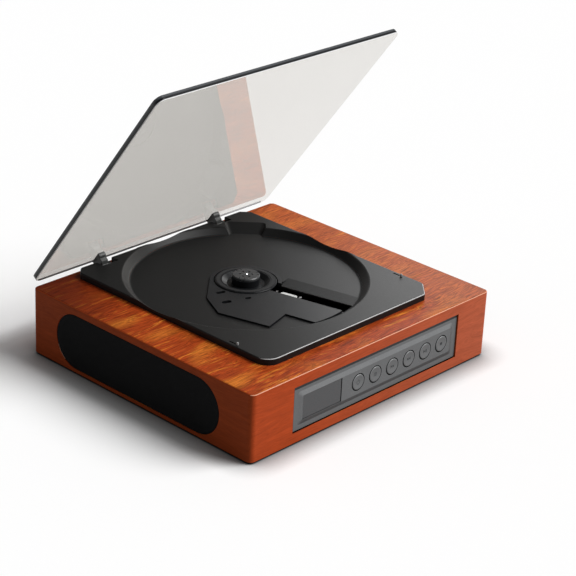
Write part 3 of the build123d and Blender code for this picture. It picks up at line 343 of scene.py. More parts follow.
def veneer(settings):
    """Sliced mahogany-like veneer, stained red-brown under satin lacquer: glowing bands that wander along the
    grain, short dark growth lines and pores, and a sheen that stays soft at its edges."""
    material, tree = new_material("stained_hardwood_veneer")
    place = put(tree, "ShaderNodeTexCoord").outputs["Object"]
    facing = normal_parts(tree)
    up = put(tree, "ShaderNodeMath", {0: facing.outputs[2], 1: 0.8}, operation="GREATER_THAN")
    across = put(tree, "ShaderNodeMath", {0: facing.outputs[0]}, operation="ABSOLUTE")
    side = put(tree, "ShaderNodeMapRange", {"Value": across, "From Min": 0.6, "From Max": 0.85})
    parts = put(tree, "ShaderNodeSeparateXYZ", {0: place})
    # The grain runs along X on the top, the front and the back, and along Y on the two sides.
    swapped = {"X": parts.outputs[1], "Y": parts.outputs[0], "Z": parts.outputs[2]}
    turned = put(tree, "ShaderNodeCombineXYZ", swapped)
    along = put(tree, "ShaderNodeMix", {"Factor": side, "A": place, "B": turned}, data_type="VECTOR")
    wander = grain(tree, along, settings.wander_length, settings.wander_width, settings.wander_width)
    drift = put(
        tree, "ShaderNodeVectorMath", {0: wander.outputs["Color"], 1: (0.0, settings.drift, settings.drift)},
        operation="MULTIPLY",
    )
    grained = put(tree, "ShaderNodeVectorMath", {0: along, 1: drift}, operation="ADD")
    widths = (settings.figure_length, settings.figure_width, settings.figure_width)
    band = grain(tree, grained, *widths, detail=5.0, roughness=0.6)
    widths = (settings.streak_length, settings.streak_width, settings.streak_width)
    streak = grain(tree, grained, *widths, roughness=0.55)
    widths = (settings.fibre_length, settings.fibre_width, settings.fibre_width)
    fibre = grain(tree, grained, *widths, roughness=0.6)
    cloud = grain(tree, along, settings.cloud_length, settings.cloud_width, settings.cloud_width, detail=1.0)
    dark = put(tree, "ShaderNodeMapRange", {"Value": streak, "From Min": 0.57, "From Max": 0.68})
    figure = figured_leaf(tree, settings, parts, band, cloud)
    plain = plain_leaf(tree, settings, parts, side, band)
    wood = put(tree, "ShaderNodeMix", {"Factor": up, "A": plain, "B": figure}, data_type="RGBA")
    wood = growth_lines(tree, settings, wood, parts, up, fibre, dark)
    # Painted highlight: a pale line along the rounded top front edge, where the face tips forwards.
    tilt = put(tree, "ShaderNodeMath", {0: facing.outputs[1], 1: -0.3}, operation="LESS_THAN")
    tipped = put(tree, "ShaderNodeMath", {0: facing.outputs[2], 1: 0.6, 2: 0.22}, operation="COMPARE")
    edge_highlight = put(tree, "ShaderNodeMath", {0: tilt, 1: tipped}, operation="MULTIPLY")
    wood = put(tree, "ShaderNodeMix", {"Factor": edge_highlight, "A": wood, "B": settings.highlight_wood}, data_type="RGBA")
    # Painted shade: the pocket round the control panel is drawn black, so its gap reads as a dark line.
    painted = {"Factor": inside(tree, parts, POCKET), "A": wood, "B": settings.pocket_shade}
    wood = put(tree, "ShaderNodeMix", painted, data_type="RGBA")
    rough = put(tree, "ShaderNodeMapRange", {"Value": band, "To Min": 0.34, "To Max": 0.5})
    height = put(tree, "ShaderNodeMath", {0: dark, 1: -1.0}, operation="MULTIPLY")
    bump = put(tree, "ShaderNodeBump", {"Height": height, "Strength": 0.12, "Distance": 0.0001})
    lacquer = put(
        tree, "ShaderNodeBsdfPrincipled",
        {"Base Color": wood, "Roughness": rough, "IOR": 1.45, "Specular IOR Level": 0.04, "Normal": bump},
    )
    put(tree, "ShaderNodeOutputMaterial", {"Surface": lacquer})
    return material


def relief(tree, paint, colour, parts, shade):
    """Paint on a raised panel or button, with painted light and shade: its bevels get painted light towards
    the upper left and painted shade towards the lower right, and its flanks and each of its dark sides are
    black with painted shade."""
    facing = normal_parts(tree)
    # Painted light and shade by the normal: lighter as a face tips up and to the left, darker as it tips down
    # and to the right.
    bevel_light = put(tree, "ShaderNodeMath", {0: facing.outputs[2], 1: 1.4, 2: 1.0}, operation="MULTIPLY_ADD")
    bevel_light = put(tree, "ShaderNodeMath", {0: facing.outputs[0], 1: -1.2, 2: bevel_light}, operation="MULTIPLY_ADD")
    bevel_light = put(tree, "ShaderNodeClamp", {"Value": bevel_light, "Min": 0.25, "Max": 2.2})
    paint = put(tree, "ShaderNodeVectorMath", {0: paint, "Scale": bevel_light}, operation="SCALE")
    # Painted shade: flanks and the listed dark sides turn near-black.
    dark = put(tree, "ShaderNodeMath", {0: facing.outputs[1], 1: -0.35}, operation="GREATER_THAN")
    for axis, place, test in shade:
        sunk = put(tree, "ShaderNodeMath", {0: parts.outputs[axis], 1: place}, operation=test)
        dark = put(tree, "ShaderNodeMath", {0: dark, 1: sunk}, operation="MAXIMUM")
    return put(tree, "ShaderNodeMix", {"Factor": dark, "A": paint, "B": tone(colour, 0.05)}, data_type="RGBA")


def painted_edge_line(tree, paint, light, parts, corners):
    """A painted highlight line along an edge: the faces between two corners that look forwards take its
    colour."""
    forwards = put(
        tree, "ShaderNodeMath", {0: normal_parts(tree).outputs[1], 1: -0.25}, operation="LESS_THAN"
    )
    line = put(
        tree, "ShaderNodeMath", {0: forwards, 1: inside(tree, parts, corners)}, operation="MULTIPLY"
    )
    return put(tree, "ShaderNodeMix", {"Factor": line, "A": paint, "B": light}, data_type="RGBA")


def moulded(name, colour, spark, roughness=(0.40, 0.52), strength=0.25, level=0.3, shade=(), light=None):
    """Injection-moulded plastic with a spark-eroded texture: a fine even grain that breaks the shine up.
    shade lists the sides of a raised piece that get painted shade, and light is the colour of a painted
    highlight line along its edge."""
    material, tree = new_material(name)
    place = put(tree, "ShaderNodeTexCoord").outputs["Object"]
    fine = grain(tree, place, spark, detail=3.0)
    patches = grain(tree, place, 0.02)
    mixed = mottled(tree, patches, colour, 0.9, 1.1)
    fleck = put(tree, "ShaderNodeMapRange", {"Value": fine, "From Min": 0.58, "From Max": 0.8})
    flecked = {"Factor": fleck, "A": mixed, "B": tone(colour, 1.5)}
    mixed = put(tree, "ShaderNodeMix", flecked, data_type="RGBA")
    parts = put(tree, "ShaderNodeSeparateXYZ", {0: place})
    if shade:
        mixed = relief(tree, mixed, colour, parts, shade)
    if light is not None:
        mixed = painted_edge_line(tree, mixed, light, parts, LIT_EDGE)
    rough = put(tree, "ShaderNodeMapRange", {"Value": fine, "To Min": roughness[0], "To Max": roughness[1]})
    bump = put(tree, "ShaderNodeBump", {"Height": fine, "Strength": strength, "Distance": 0.0001})
    plastic = put(
        tree, "ShaderNodeBsdfPrincipled",
        {"Base Color": mixed, "Roughness": rough, "IOR": 1.5, "Specular IOR Level": level, "Normal": bump},
    )
    put(tree, "ShaderNodeOutputMaterial", {"Surface": plastic})
    return material


def metal(name, colour, roughness, drawn):
    """Metal with fine marks left by rolling, turning or grinding. drawn is the marks' size, on each axis or
    on all."""
    material, tree = new_material(name)
    place = put(tree, "ShaderNodeTexCoord").outputs["Object"]
    marks = grain(tree, place, *drawn, detail=3.0)
    stain = grain(tree, place, 0.006)
    tinted = mottled(tree, stain, colour, 0.82, 1.1)
    rough = put(tree, "ShaderNodeMapRange", {"Value": marks, "To Min": roughness[0], "To Max": roughness[1]})
    bump = put(tree, "ShaderNodeBump", {"Height": marks, "Strength": 0.15, "Distance": 0.00005})
    shine = put(
        tree, "ShaderNodeBsdfPrincipled",
        {"Base Color": tinted, "Metallic": 1.0, "Roughness": rough, "Normal": bump},
    )
    put(tree, "ShaderNodeOutputMaterial", {"Surface": shine})
    return material


def acrylic(settings):
    """Cast clear acrylic with flame-polished edges, shown as one thin pane: the mirror shares R of both faces
    add up to 2R / (1 + R), so it mirrors strongly at a low angle. Its edges pipe light away, so they are
    drawn in painted near-black with painted highlight lines."""
    material, tree = new_material("cast_clear_acrylic")
    place = put(tree, "ShaderNodeTexCoord").outputs["Object"]
    ior, skin, sliver = 1.49, 0.00003, 0.0002
    half = settings.thickness / 2
    turn = Matrix.Rotation(settings.swing, 3, "X")
    # The sheet's place as if the lid were shut: Z is its thickness and Y runs from its heel to its front.
    back = -(turn @ Vector(settings.hinge))
    shut = put(
        tree, "ShaderNodeMapping", {"Vector": place, "Location": back, "Rotation": (settings.swing, 0.0, 0.0)}
    )
    shut = put(tree, "ShaderNodeSeparateXYZ", {0: shut})
    off_middle = put(tree, "ShaderNodeMath", {0: shut.outputs[2], 1: settings.middle}, operation="SUBTRACT")
    depth = put(tree, "ShaderNodeMath", {0: off_middle}, operation="ABSOLUTE")
    broad = put(tree, "ShaderNodeMath", {0: depth, 1: half - skin}, operation="GREATER_THAN")
    heel = put(
        tree, "ShaderNodeMath", {0: shut.outputs[1], 1: settings.heel - sliver}, operation="GREATER_THAN"
    )
    inner = put(tree, "ShaderNodeMath", {0: off_middle, 1: -half / 4}, operation="LESS_THAN")
    line = put(tree, "ShaderNodeMath", {0: heel, 1: inner}, operation="MULTIPLY")
    behind = put(tree, "ShaderNodeNewGeometry").outputs["Backfacing"]
    mirror = put(tree, "ShaderNodeFresnel", {"IOR": ior})
    doubled = put(tree, "ShaderNodeMath", {0: mirror, 1: 2.0}, operation="MULTIPLY")
    raised = put(tree, "ShaderNodeMath", {0: mirror, 1: 1.0}, operation="ADD")
    both = put(tree, "ShaderNodeMath", {0: doubled, 1: raised}, operation="DIVIDE")
    haze = grain(tree, place, 0.03)
    rough = put(tree, "ShaderNodeMapRange", {"Value": haze, "To Min": 0.0, "To Max": 0.004})
    image = put(tree, "ShaderNodeBsdfGlossy", {"Color": (1.0, 1.0, 1.0, 1.0), "Roughness": rough})
    through = put(tree, "ShaderNodeBsdfTransparent", {"Color": settings.tint})
    pane = put(tree, "ShaderNodeMixShader", {0: both, 1: through, 2: image})
    clear = put(tree, "ShaderNodeBsdfTransparent")
    pane = put(tree, "ShaderNodeMixShader", {0: behind, 1: pane, 2: clear})
    # Painted light across the edge: a painted white highlight at the inner border, then painted near-black
    # shade, a painted grey highlight outwards, and near-black again at the outer border.
    across = put(tree, "ShaderNodeMapRange", {"Value": off_middle, "From Min": -half, "From Max": half})
    layers = put(
        tree, "ShaderNodeValToRGB", {"Fac": across},
        stops=[
            (0.0, linear("#F0F0F0")), (0.10, linear("#F0F0F0")), (0.16, tone(settings.edge, 0.4)),
            (0.45, settings.edge), (0.80, linear("#54575A")), (0.92, settings.edge),
        ],
    )
    black = put(
        tree, "ShaderNodeBsdfPrincipled",
        {"Base Color": layers, "Roughness": 0.25, "IOR": ior, "Specular IOR Level": 0.25},
    )
    # Seen through the pane, the heel's far edge is one dark line.
    dark = put(tree, "ShaderNodeBsdfDiffuse", {"Color": tone(settings.edge, 0.5)})
    hidden = put(tree, "ShaderNodeMixShader", {0: line, 1: clear, 2: dark})
    edge = put(tree, "ShaderNodeMixShader", {0: behind, 1: black, 2: hidden})
    sheet = put(tree, "ShaderNodeMixShader", {0: broad, 1: edge, 2: pane})
    put(tree, "ShaderNodeOutputMaterial", {"Surface": sheet})
    return material


def smoked(name, colour, roughness, coat):
    """Smoked plastic or coated glass that nothing shows through: one deep colour under a clear shine."""
    material, tree = new_material(name)
    place = put(tree, "ShaderNodeTexCoord").outputs["Object"]
    wide = grain(tree, place, 0.012)
    rough = put(tree, "ShaderNodeMapRange", {"Value": wide, "To Min": roughness, "To Max": roughness + 0.08})
    pane = put(
        tree, "ShaderNodeBsdfPrincipled",
        {
            "Base Color": mottled(tree, wide, colour, 0.92, 1.08), "Roughness": rough, "IOR": 1.49,
            "Coat Weight": coat, "Coat Roughness": 0.05,
        },
    )
    put(tree, "ShaderNodeOutputMaterial", {"Surface": pane})
    return material


def circuit(name, mask, copper):
    """Fibreglass board under solder mask: straight tracks show as a lighter green over the copper."""
    material, tree = new_material(name)
    place = put(tree, "ShaderNodeTexCoord").outputs["Object"]
    tracked = put(tree, "ShaderNodeMapping", {"Vector": place, "Scale": per_metre(0.0038)})
    tracks = put(
        tree, "ShaderNodeTexBrick",
        {
            "Vector": tracked, "Color1": tone(mask, 1.3), "Color2": mask, "Mortar": tone(mask, 0.7),
            "Scale": 1.0, "Mortar Size": 0.06, "Brick Width": 1.7, "Row Height": 0.35,
        },
    )
    speck = grain(tree, place, 0.0015, detail=1.0)
    pads = put(tree, "ShaderNodeMapRange", {"Value": speck, "From Min": 0.68, "From Max": 0.7})
    mixed = put(tree, "ShaderNodeMix", {"Factor": pads, "A": tracks, "B": copper}, data_type="RGBA")
    rough = put(tree, "ShaderNodeMapRange", {"Value": speck, "To Min": 0.25, "To Max": 0.4})
    board = put(
        tree, "ShaderNodeBsdfPrincipled",
        {"Base Color": mixed, "Roughness": rough, "IOR": 1.52, "Coat Weight": 0.4},
    )
    put(tree, "ShaderNodeOutputMaterial", {"Surface": board})
    return material


def bare_wood(colour):
    """Sawn softwood left bare: long pale fibres and a rough, unsealed surface."""
    material, tree = new_material("sawn_softwood")
    place = put(tree, "ShaderNodeTexCoord").outputs["Object"]
    fibre = grain(tree, place, 0.0011, 0.0011, 0.017, detail=4.0)
    rough = put(tree, "ShaderNodeMapRange", {"Value": fibre, "To Min": 0.7, "To Max": 0.9})
    bump = put(tree, "ShaderNodeBump", {"Height": fibre, "Strength": 0.4, "Distance": 0.0003})
    mixed = mottled(tree, fibre, colour, 0.7, 1.15)
    sawn = put(
        tree, "ShaderNodeBsdfPrincipled",
        {"Base Color": mixed, "Roughness": rough, "IOR": 1.5, "Normal": bump},
    )
    put(tree, "ShaderNodeOutputMaterial", {"Surface": sawn})
    return material


def cloth(colour, thread):
    """Woven polyester grille cloth, dull with open pores. The sines of both ways of the cloth's own UV,
    without their signs, are multiplied for the threads that pass over and under."""
    material, tree = new_material("woven_grille_cloth")
    flat = put(tree, "ShaderNodeTexCoord").outputs["UV"]
    scaled = put(tree, "ShaderNodeMapping", {"Vector": flat, "Scale": per_metre(thread)})
    parts = put(tree, "ShaderNodeSeparateXYZ", {0: scaled})
    waves = []
    for axis in (0, 1):
        turn = put(tree, "ShaderNodeMath", {0: parts.outputs[axis], 1: math.pi}, operation="MULTIPLY")
        wave = put(tree, "ShaderNodeMath", {0: turn}, operation="SINE")
        waves.append(put(tree, "ShaderNodeMath", {0: wave}, operation="ABSOLUTE"))
    weave = put(tree, "ShaderNodeMath", {0: waves[0], 1: waves[1]}, operation="MULTIPLY")
    bump = put(tree, "ShaderNodeBump", {"Height": weave, "Strength": 0.5, "Distance": 0.0002})
    mixed = mottled(tree, weave, colour, 0.35, 1.3)
    threads = put(
        tree, "ShaderNodeBsdfPrincipled",
        {"Base Color": mixed, "Roughness": 0.95, "Specular IOR Level": 0.15, "Normal": bump},
    )
    put(tree, "ShaderNodeOutputMaterial", {"Surface": threads})
    return material


def rubber(name, colour):
    """Moulded rubber: a deep colour, a soft bloom and faint wear instead of a shine."""
    material, tree = new_material(name)
    place = put(tree, "ShaderNodeTexCoord").outputs["Object"]
    bloom = grain(tree, place, 0.004, detail=4.0)
    rough = put(tree, "ShaderNodeMapRange", {"Value": bloom, "To Min": 0.6, "To Max": 0.85})
    bump = put(tree, "ShaderNodeBump", {"Height": bloom, "Strength": 0.2, "Distance": 0.0002})
    mixed = mottled(tree, bloom, colour, 0.8, 1.5)
    soft = put(
        tree, "ShaderNodeBsdfPrincipled",
        {"Base Color": mixed, "Roughness": rough, "IOR": 1.52, "Specular IOR Level": 0.35, "Normal": bump},
    )
    put(tree, "ShaderNodeOutputMaterial", {"Surface": soft})
    return material


def dress(material, *names):
    """Puts one material on CAD nodes."""
    for name in names:
        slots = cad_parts[name].data.materials
        slots.clear()
        slots.append(material)


def place_mesh(name, points, faces, material, body, uv=None, smooth=True):
    """Makes a piece from points and faces, with its place in its mesh, and rides it on a body."""
    mesh = bpy.data.meshes.new(name)
    mesh.from_pydata(np.asarray(points, float).tolist(), [], [tuple(map(int, face)) for face in faces])
    mesh.materials.append(material)
    if uv is not None:
        layer = mesh.uv_layers.new(name="UVMap")
        corners = np.zeros(len(mesh.loops), np.int32)
        mesh.loops.foreach_get("vertex_index", corners)
        layer.data.foreach_set("uv", np.asarray(uv, np.float32)[corners].ravel())
    mesh.polygons.foreach_set("use_smooth", np.full(len(mesh.polygons), smooth))
    mesh.validate()
    piece = bpy.data.objects.new(name, mesh)
    bpy.context.scene.collection.objects.link(piece)
    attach(piece, body)
    return piece


def ring_faces(rings, count):
    """Quads between closed rings of points, one ring after another."""
    row = np.arange(rings - 1)[:, None] * count
    column = np.arange(count)[None, :]
    a = (row + column).ravel()
    b = (row + (column + 1) % count).ravel()
    return np.stack([a, b, b + count, a + count], 1)


def slot_outline(length, height, circle):
    """A slot's outline: the points of a unit circle times half the height, each pushed out to its own end."""
    shift = np.where(circle[:, 0] >= 0, 1.0, -1.0) * (length - height) / 2
    return np.stack([shift + height / 2 * circle[:, 0], height / 2 * circle[:, 1]], 1)


def stretched_cloth(side, material):
    """Cloth stretched on an oval frame. A ring is the slot outline, each point drawn in along its own angle
    by the ring's inset. The first rings roll forwards over the frame's edge to the highest, the others sink
    by a hair towards the middle, and a strip of faces closes what is left."""
    low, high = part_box(f"grille_cloth_{side}")
    outward, face = (-1.0, low.x) if side == "left" else (1.0, high.x)
    centre = (low + high) / 2
    length, height = high.y - low.y, high.z - low.z
    count = 192
    angle = np.linspace(0, 2 * math.pi, count, endpoint=False)
    circle = np.stack([np.cos(angle), np.sin(angle)], 1)
    inset = np.array([0.0, 0.0, 0.00012, 0.0004, 0.001, 0.003, 0.006, 0.010, 0.0135])
    depth = np.array([0.00058, 0.0003, 0.00012, 0.00003, 0.0, 0.00002, 0.00006, 0.0001, 0.00012])
    rings = slot_outline(length, height, circle)[None] - inset[:, None, None] * circle[None]
    points = np.zeros((len(inset), count, 3))
    points[..., 0] = face - outward * depth[:, None]
    points[..., 1] = centre.y + rings[..., 0]
    points[..., 2] = centre.z + rings[..., 1]
    flat = points.reshape(-1, 3)
    # The strip runs along the last ring both ways from its top. Its two end faces are triangles, because one
    # corner comes twice.
    start = (len(inset) - 1) * count
    step = np.arange(count // 2 + 1)
    one_way = start + (count // 4 + step) % count
    other_way = start + (count // 4 - step) % count
    strip = np.stack([one_way[:-1], one_way[1:], other_way[1:], other_way[:-1]], 1)
    faces = [tuple(dict.fromkeys(corners)) for corners in strip.tolist()]
    faces = ring_faces(len(inset), count).tolist() + faces
    if side == "left":
        faces = [corners[::-1] for corners in faces]
    piece = place_mesh(f"stretched_cloth_{side}", flat, faces, material, "cabinet", flat[:, 1:])
    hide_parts(f"grille_cloth_{side}")
    return piece


def ring_shape(radius, width, start, end, count=48):
    """A flat arc: two arcs of circles, half a line's width in and out of the radius, joined at their ends."""
    angle = np.linspace(start, end, count)
    circle = np.stack([np.cos(angle), np.sin(angle)], 1)
    points = np.concatenate([(radius - width / 2) * circle, (radius + width / 2) * circle])
    k = np.arange(count - 1)
    return points, np.stack([k + count, k + 1 + count, k + 1, k], 1)


def block_shape(x0, x1, y0, y1):
    """A flat rectangle."""
    return np.array([(x0, y0), (x1, y0), (x1, y1), (x0, y1)]), np.array([[0, 1, 2, 3]])


def arrow_shape(x0, x1, half):
    """A triangle that points from x0 to x1."""
    points = np.array([(x0, -half), (x1, 0.0), (x0, half)])
    return points, np.array([[0, 1, 2] if x1 > x0 else [2, 1, 0]])


def symbol_shapes(name):
    """Generic control symbols as flat shapes, for a symbol whose circle has a radius of one."""
    shapes = {
        "power": [
            ring_shape(0.30, 0.07, math.radians(125), math.radians(415)),
            block_shape(-0.035, 0.035, 0.08, 0.40),
        ],
        "function": [block_shape(-0.3, 0.3, y - 0.035, y + 0.035) for y in (-0.2, 0.0, 0.2)],
        "previous": [
            block_shape(-0.36, -0.29, -0.22, 0.22),
            arrow_shape(0.03, -0.27, 0.22),
            arrow_shape(0.35, 0.05, 0.22),
        ],
        "next": [
            block_shape(0.29, 0.36, -0.22, 0.22),
            arrow_shape(-0.03, 0.27, 0.22),
            arrow_shape(-0.35, -0.05, 0.22),
        ],
        "play": [
            arrow_shape(-0.36, 0.02, 0.24),
            block_shape(0.10, 0.18, -0.22, 0.22),
            block_shape(0.26, 0.34, -0.22, 0.22),
        ],
        "stop": [block_shape(-0.2, 0.2, -0.2, 0.2)],
    }
    return shapes[name]


def printed_symbol(name, material):
    """Pad-printed symbol in a button's shallow dish: flat shapes whose points follow the dish's sphere of
    radius R, dish - (R - sqrt(R^2 - r^2)) behind the button's face, and lie a hair proud of it."""
    low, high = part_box(f"button_{name}")
    centre = (low + high) / 2
    symbol, reach, dish, proud = 0.0038, 0.0034, 0.00025, 0.00002
    sphere = (reach**2 + dish**2) / (2 * dish)
    points, faces, first = [], [], 0
    for flat, corners in symbol_shapes(name):
        points.append(flat)
        faces += (corners + first).tolist()
        first += len(flat)
    flat = np.concatenate(points) * symbol
    sunk = dish - (sphere - np.sqrt(sphere**2 - (flat**2).sum(1)))
    placed = np.stack([centre.x + flat[:, 0], low.y + sunk - proud, centre.z + flat[:, 1]], 1)
    return place_mesh(
        f"symbol_{name}", placed, faces, material, f"button_{name}", smooth=False
    )


def seen_rays(tree, *names):
    """One for the kinds of light path that look straight at a backdrop, and nought for the light it sheds."""
    path = put(tree, "ShaderNodeLightPath")
    seen = 0.0
    for name in names:
        seen = put(tree, "ShaderNodeMath", {0: seen, 1: path.outputs[name]}, operation="MAXIMUM")
    return seen


def painted_floor(settings):
    """Matt white paint: white where it is seen, a weaker white for the light it throws back up, and a painted
    contact shadow near the object, darkest in the narrow gap under it."""
    material, tree = new_material("matt_painted_floor")
    seen = seen_rays(tree, "Is Camera Ray", "Is Glossy Ray", "Is Transmission Ray")
    paint = put(
        tree, "ShaderNodeMix",
        {"Factor": seen, "A": tone(settings.floor, settings.bounce), "B": settings.floor}, data_type="RGBA",
    )
    # Painted contact shadow: the floor darkens by its ambient occlusion near the object.
    near = put(tree, "ShaderNodeAmbientOcclusion", {"Distance": settings.contact})
    contact = put(tree, "ShaderNodeMath", {0: near.outputs["AO"], 1: 1.8}, operation="POWER")
    paint = put(tree, "ShaderNodeVectorMath", {0: paint, "Scale": contact}, operation="SCALE")
    matt = put(tree, "ShaderNodeBsdfDiffuse", {"Color": paint})
    put(tree, "ShaderNodeOutputMaterial", {"Surface": matt})
    return material


def white_studio(settings):
    """A white backdrop that a reflection sees fade towards a dimmer ceiling, and an even, low fill light."""
    world = bpy.data.worlds.new("white_studio")
    world.use_nodes = True
    tree = world.node_tree
    tree.nodes.clear()
    ray = put(tree, "ShaderNodeSeparateXYZ", {0: put(tree, "ShaderNodeTexCoord").outputs["Generated"]})
    above = put(
        tree, "ShaderNodeMapRange",
        {
            "Value": ray.outputs[2], "From Min": 0.0, "From Max": 0.35, "To Min": 1.0,
            "To Max": settings.ceiling,
        },
    )
    mirrored = seen_rays(tree, "Is Glossy Ray")
    shares = {"Factor": mirrored, "A": settings.fill, "B": above}
    glossy = put(tree, "ShaderNodeMix", shares, data_type="FLOAT")
    seen = seen_rays(tree, "Is Camera Ray", "Is Transmission Ray")
    strength = put(tree, "ShaderNodeMix", {"Factor": seen, "A": glossy, "B": 1.0}, data_type="FLOAT")
    sky = put(tree, "ShaderNodeBackground", {"Color": (1.0, 1.0, 1.0, 1.0), "Strength": strength})
    put(tree, "ShaderNodeOutputWorld", {"Surface": sky})
    return world


def hang_lamp(lamp, place):
    """Hangs a lamp at a place, turned to the origin and out of the camera's sight."""
    holder = bpy.data.objects.new(lamp.name, lamp)
    bpy.context.scene.collection.objects.link(holder)
    holder.location = place
    holder.rotation_euler = (-Vector(place)).to_track_quat("-Z", "Y").to_euler()
    holder.visible_camera = False
    return holder


class StageOperator(bpy.types.Operator):
    """Builds the pale studio floor, the soft lights and the camera"""

    bl_idname = "cd_player.stage"
    bl_label = "Stage"

    def execute(self, context):
        settings = context.scene.cd_stage
        scene = context.scene
        scene.view_settings.view_transform = "Standard"
        scene.world = white_studio(settings)
        reach, ground = settings.reach, cad_box[0][2]
        corners = [(-reach, -reach, ground), (reach, -reach, ground), (reach, reach, ground)]
        corners.append((-reach, reach, ground))
        mesh = bpy.data.meshes.new("studio_floor")
        mesh.from_pydata(corners, [], [(0, 1, 2, 3)])
        mesh.materials.append(painted_floor(settings))
        floor = bpy.data.objects.new("studio_floor", mesh)
        scene.collection.objects.link(floor)

        # A broad distant key from the front right keeps the whole floor one white.
        key = bpy.data.lights.new("key_light", "SUN")
        key.energy = settings.key_strength
        key.angle = settings.key_spread
        hang_lamp(key, settings.key_place)

        # The softbox shapes the sheen on the player. The floor stays one even white without it, and the lid
        # shows no hard image of it when it is shut.
        softbox = bpy.data.lights.new("side_softbox", "AREA")
        softbox.size = settings.softbox_side
        softbox.energy = settings.softbox_power
        unlit = bpy.data.collections.new("softbox_skips")
        for skipped in (floor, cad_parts["lid_sheet"]):
            unlit.objects.link(skipped)
        for member in unlit.collection_objects:
            member.light_linking.link_state = "EXCLUDE"
        hang_lamp(softbox, settings.softbox_place).light_linking.receiver_collection = unlit

        camera = bpy.data.cameras.new("photo_camera")
        camera.lens = settings.lens
        camera.sensor_width = 36.0
        camera.clip_start = 0.01
        holder = bpy.data.objects.new("photo_camera", camera)
        scene.collection.objects.link(holder)
        back = (Vector(settings.eye) - Vector(settings.target)).normalized()
        right = Vector((0, 0, 1)).cross(back).normalized()
        up = back.cross(right)
        cos, sin = math.cos(settings.roll), math.sin(settings.roll)
        across = cos * right + sin * up
        above = -sin * right + cos * up
        turn = Matrix((across, above, back)).transposed().to_4x4()
        holder.matrix_world = Matrix.Translation(settings.eye) @ turn
        scene.camera = holder
        return {"FINISHED"}


class CabinetOperator(bpy.types.Operator):
    """Gives the wooden cabinet its lacquered veneer and its glue blocks their bare wood"""

    bl_idname = "cd_player.cabinet"
    bl_label = "Cabinet"

    def execute(self, context):
        dress(veneer(context.scene.cd_cabinet), "wood_cabinet")
        dress(bare_wood(linear("#C79B68")), "corner_blocks")
        return {"FINISHED"}


class DeckOperator(bpy.types.Operator):
    """Gives the deck, mechanism cover, turntable and hinges their moulded plastic"""

    bl_idname = "cd_player.deck"
    bl_label = "Deck"

    def execute(self, context):
        settings = context.scene.cd_plastic
        spark = settings.spark
        deck = moulded("spark_textured_black_abs", settings.deck, spark, level=0.2, light=settings.lit_edge)
        dress(deck, "deck", "hinge_bracket_left", "hinge_bracket_right")
        cover = moulded("satin_black_abs", settings.cover, spark, (0.36, 0.46), 0.12, 0.22)
        dress(cover, "mechanism_cover")
        dress(moulded("black_acetal", settings.cover, spark, (0.34, 0.42), 0.06, 0.1), "turntable")
        dress(moulded("grey_acetal", linear("#363738"), spark, (0.34, 0.42), 0.06, 0.4), "hub_cap")
        arms = moulded("grey_nylon", linear("#3C3D3C"), spark, (0.3, 0.42), 0.1)
        dress(arms, "hinge_arm_left", "hinge_arm_right")
        dress(rubber("black_rubber", linear("#161617")), "disc_pad", "rubber_feet", "chassis_dampers")
        dress(rubber("grey_silicone_rubber", linear("#8C8D8D")), "lid_rest_pins")
        return {"FINISHED"}


class LidOperator(bpy.types.Operator):
    """Gives the lid its clear acrylic"""

    bl_idname = "cd_player.lid"
    bl_label = "Lid"

    def execute(self, context):
        dress(acrylic(context.scene.cd_lid), "lid_sheet")
        return {"FINISHED"}


class ControlsOperator(bpy.types.Operator):
    """Gives the control panel, its window and its buttons their finish and prints the symbols"""

    bl_idname = "cd_player.controls"
    bl_label = "Control panel"

    def execute(self, context):
        settings = context.scene.cd_plastic
        spark = settings.fine_spark
        panel = moulded("grey_painted_abs", settings.panel, spark, (0.36, 0.46), 0.12, 0.3, PANEL_SHADE)
        dress(panel, "control_panel")
        keys = moulded("grey_button_abs", settings.button, spark, (0.26, 0.34), 0.08, 0.4, BUTTON_SHADE)
        dress(keys, *[f"button_{name}" for name in KEYS])
        dress(smoked("smoked_acrylic_window", settings.window, 0.18, 0.3), "display_window")
        dress(smoked("display_glass", linear("#101214"), 0.15, 0.6), "display_module")
        ink = moulded("pad_printing_ink", settings.symbol, 0.0003, (0.5, 0.6))
        for name in KEYS:
            printed_symbol(name, ink)
        return {"FINISHED"}


class GrilleOperator(bpy.types.Operator):
    """Stretches black cloth over both side grilles"""

    bl_idname = "cd_player.grilles"
    bl_label = "Side grilles"

    def execute(self, context):
        surround = moulded("black_frame_abs", linear("#0E0E0F"), 0.0006)
        dress(surround, "grille_frame_left", "grille_frame_right")
        weave = cloth(linear("#19191A"), 0.0008)
        for side in ("left", "right"):
            stretched_cloth(side, weave)
        return {"FINISHED"}


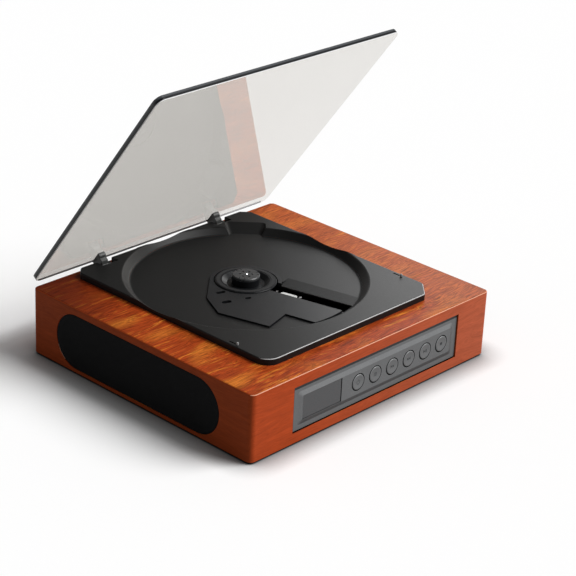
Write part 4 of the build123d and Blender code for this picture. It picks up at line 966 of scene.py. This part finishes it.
class MechanismOperator(bpy.types.Operator):
    """Gives the drive, the pickup and the other inner pieces their metals, boards and plastics"""

    bl_idname = "cd_player.mechanism"
    bl_label = "Mechanism"

    def execute(self, context):
        steel = metal("zinc_plated_sheet_steel", linear("#A9AAA8"), (0.3, 0.45), (0.0004, 0.006, 0.0004))
        dress(
            steel, "mechanism_chassis", "spindle_motor", "sled_motor", "speaker_basket_left",
            "speaker_basket_right", "speaker_magnet_left", "speaker_magnet_right",
        )
        bright = metal("ground_bright_steel", linear("#DADBDC"), (0.12, 0.22), (0.0003, 0.0003, 0.004))
        dress(bright, "spindle_shaft", "guide_rod", "hinge_pins", "actuator_yoke")
        dress(metal("die_cast_zinc", linear("#9B9B98"), (0.35, 0.55), (0.0008,)), "pickup_sled")
        screws = metal("black_oxide_screw_steel", linear("#4B4C4E"), (0.3, 0.45), (0.0005,))
        dress(screws, "base_screws", "deck_screws", "chassis_screws")
        gears = moulded("white_acetal", linear("#DEDDD6"), 0.0008, (0.32, 0.42), 0.05)
        dress(gears, "feed_gear", "motor_pinion")
        black = moulded("black_liquid_crystal_polymer", linear("#151516"), 0.0005)
        dress(black, "side_rail", "tact_switches", "infrared_receiver", "power_jack", "audio_jack")
        silver = moulded("silver_liquid_crystal_polymer", linear("#CFCFCD"), 0.0005, (0.3, 0.4), 0.1)
        dress(silver, "lens_holder")
        dress(smoked("coated_lens_glass", linear("#4C5C9A"), 0.03, 1.0), "objective_lens")
        cone = moulded("coated_paper_cone", linear("#1A1A1B"), 0.0009, (0.6, 0.8))
        dress(cone, "speaker_cone_left", "speaker_cone_right")
        board = circuit("green_circuit_board", linear("#1D4A2C"), linear("#B58B4A"))
        dress(board, "main_board", "control_board")
        base = moulded("black_base_abs", linear("#151617"), 0.0012, (0.5, 0.65), 0.5)
        dress(base, "base_plate", "rear_jack_plate")
        return {"FINISHED"}


class PlayerPanel(bpy.types.Panel):
    """Lists the player's pieces in the sidebar"""

    bl_idname = "VIEW3D_PT_cd_player"
    bl_label = "CD Player"
    bl_space_type = "VIEW_3D"
    bl_region_type = "UI"
    bl_category = "CD Player"

    def draw(self, context):
        for made in OPERATORS:
            self.layout.operator(made.bl_idname)


GROUPS = (
    ("cd_cabinet", CabinetSettings),
    ("cd_plastic", PlasticSettings),
    ("cd_lid", LidSettings),
    ("cd_stage", StageSettings),
)
OPERATORS = (
    StageOperator,
    CabinetOperator,
    DeckOperator,
    LidOperator,
    ControlsOperator,
    GrilleOperator,
    MechanismOperator,
)


def register():
    """Registers the settings, the operators and the panel."""
    for name, group in GROUPS:
        bpy.utils.register_class(group)
        setattr(bpy.types.Scene, name, bpy.props.PointerProperty(type=group))
    for made in OPERATORS + (PlayerPanel,):
        bpy.utils.register_class(made)


def unregister():
    """Takes away what register added, in the opposite order."""
    for made in reversed(OPERATORS + (PlayerPanel,)):
        bpy.utils.unregister_class(made)
    for name, group in reversed(GROUPS):
        delattr(bpy.types.Scene, name)
        bpy.utils.unregister_class(group)


def main():
    """Builds everything in order."""
    register()
    for made in OPERATORS:
        area, name = made.bl_idname.split(".")
        getattr(getattr(bpy.ops, area), name)()


if __name__ == "__main__":
    main()
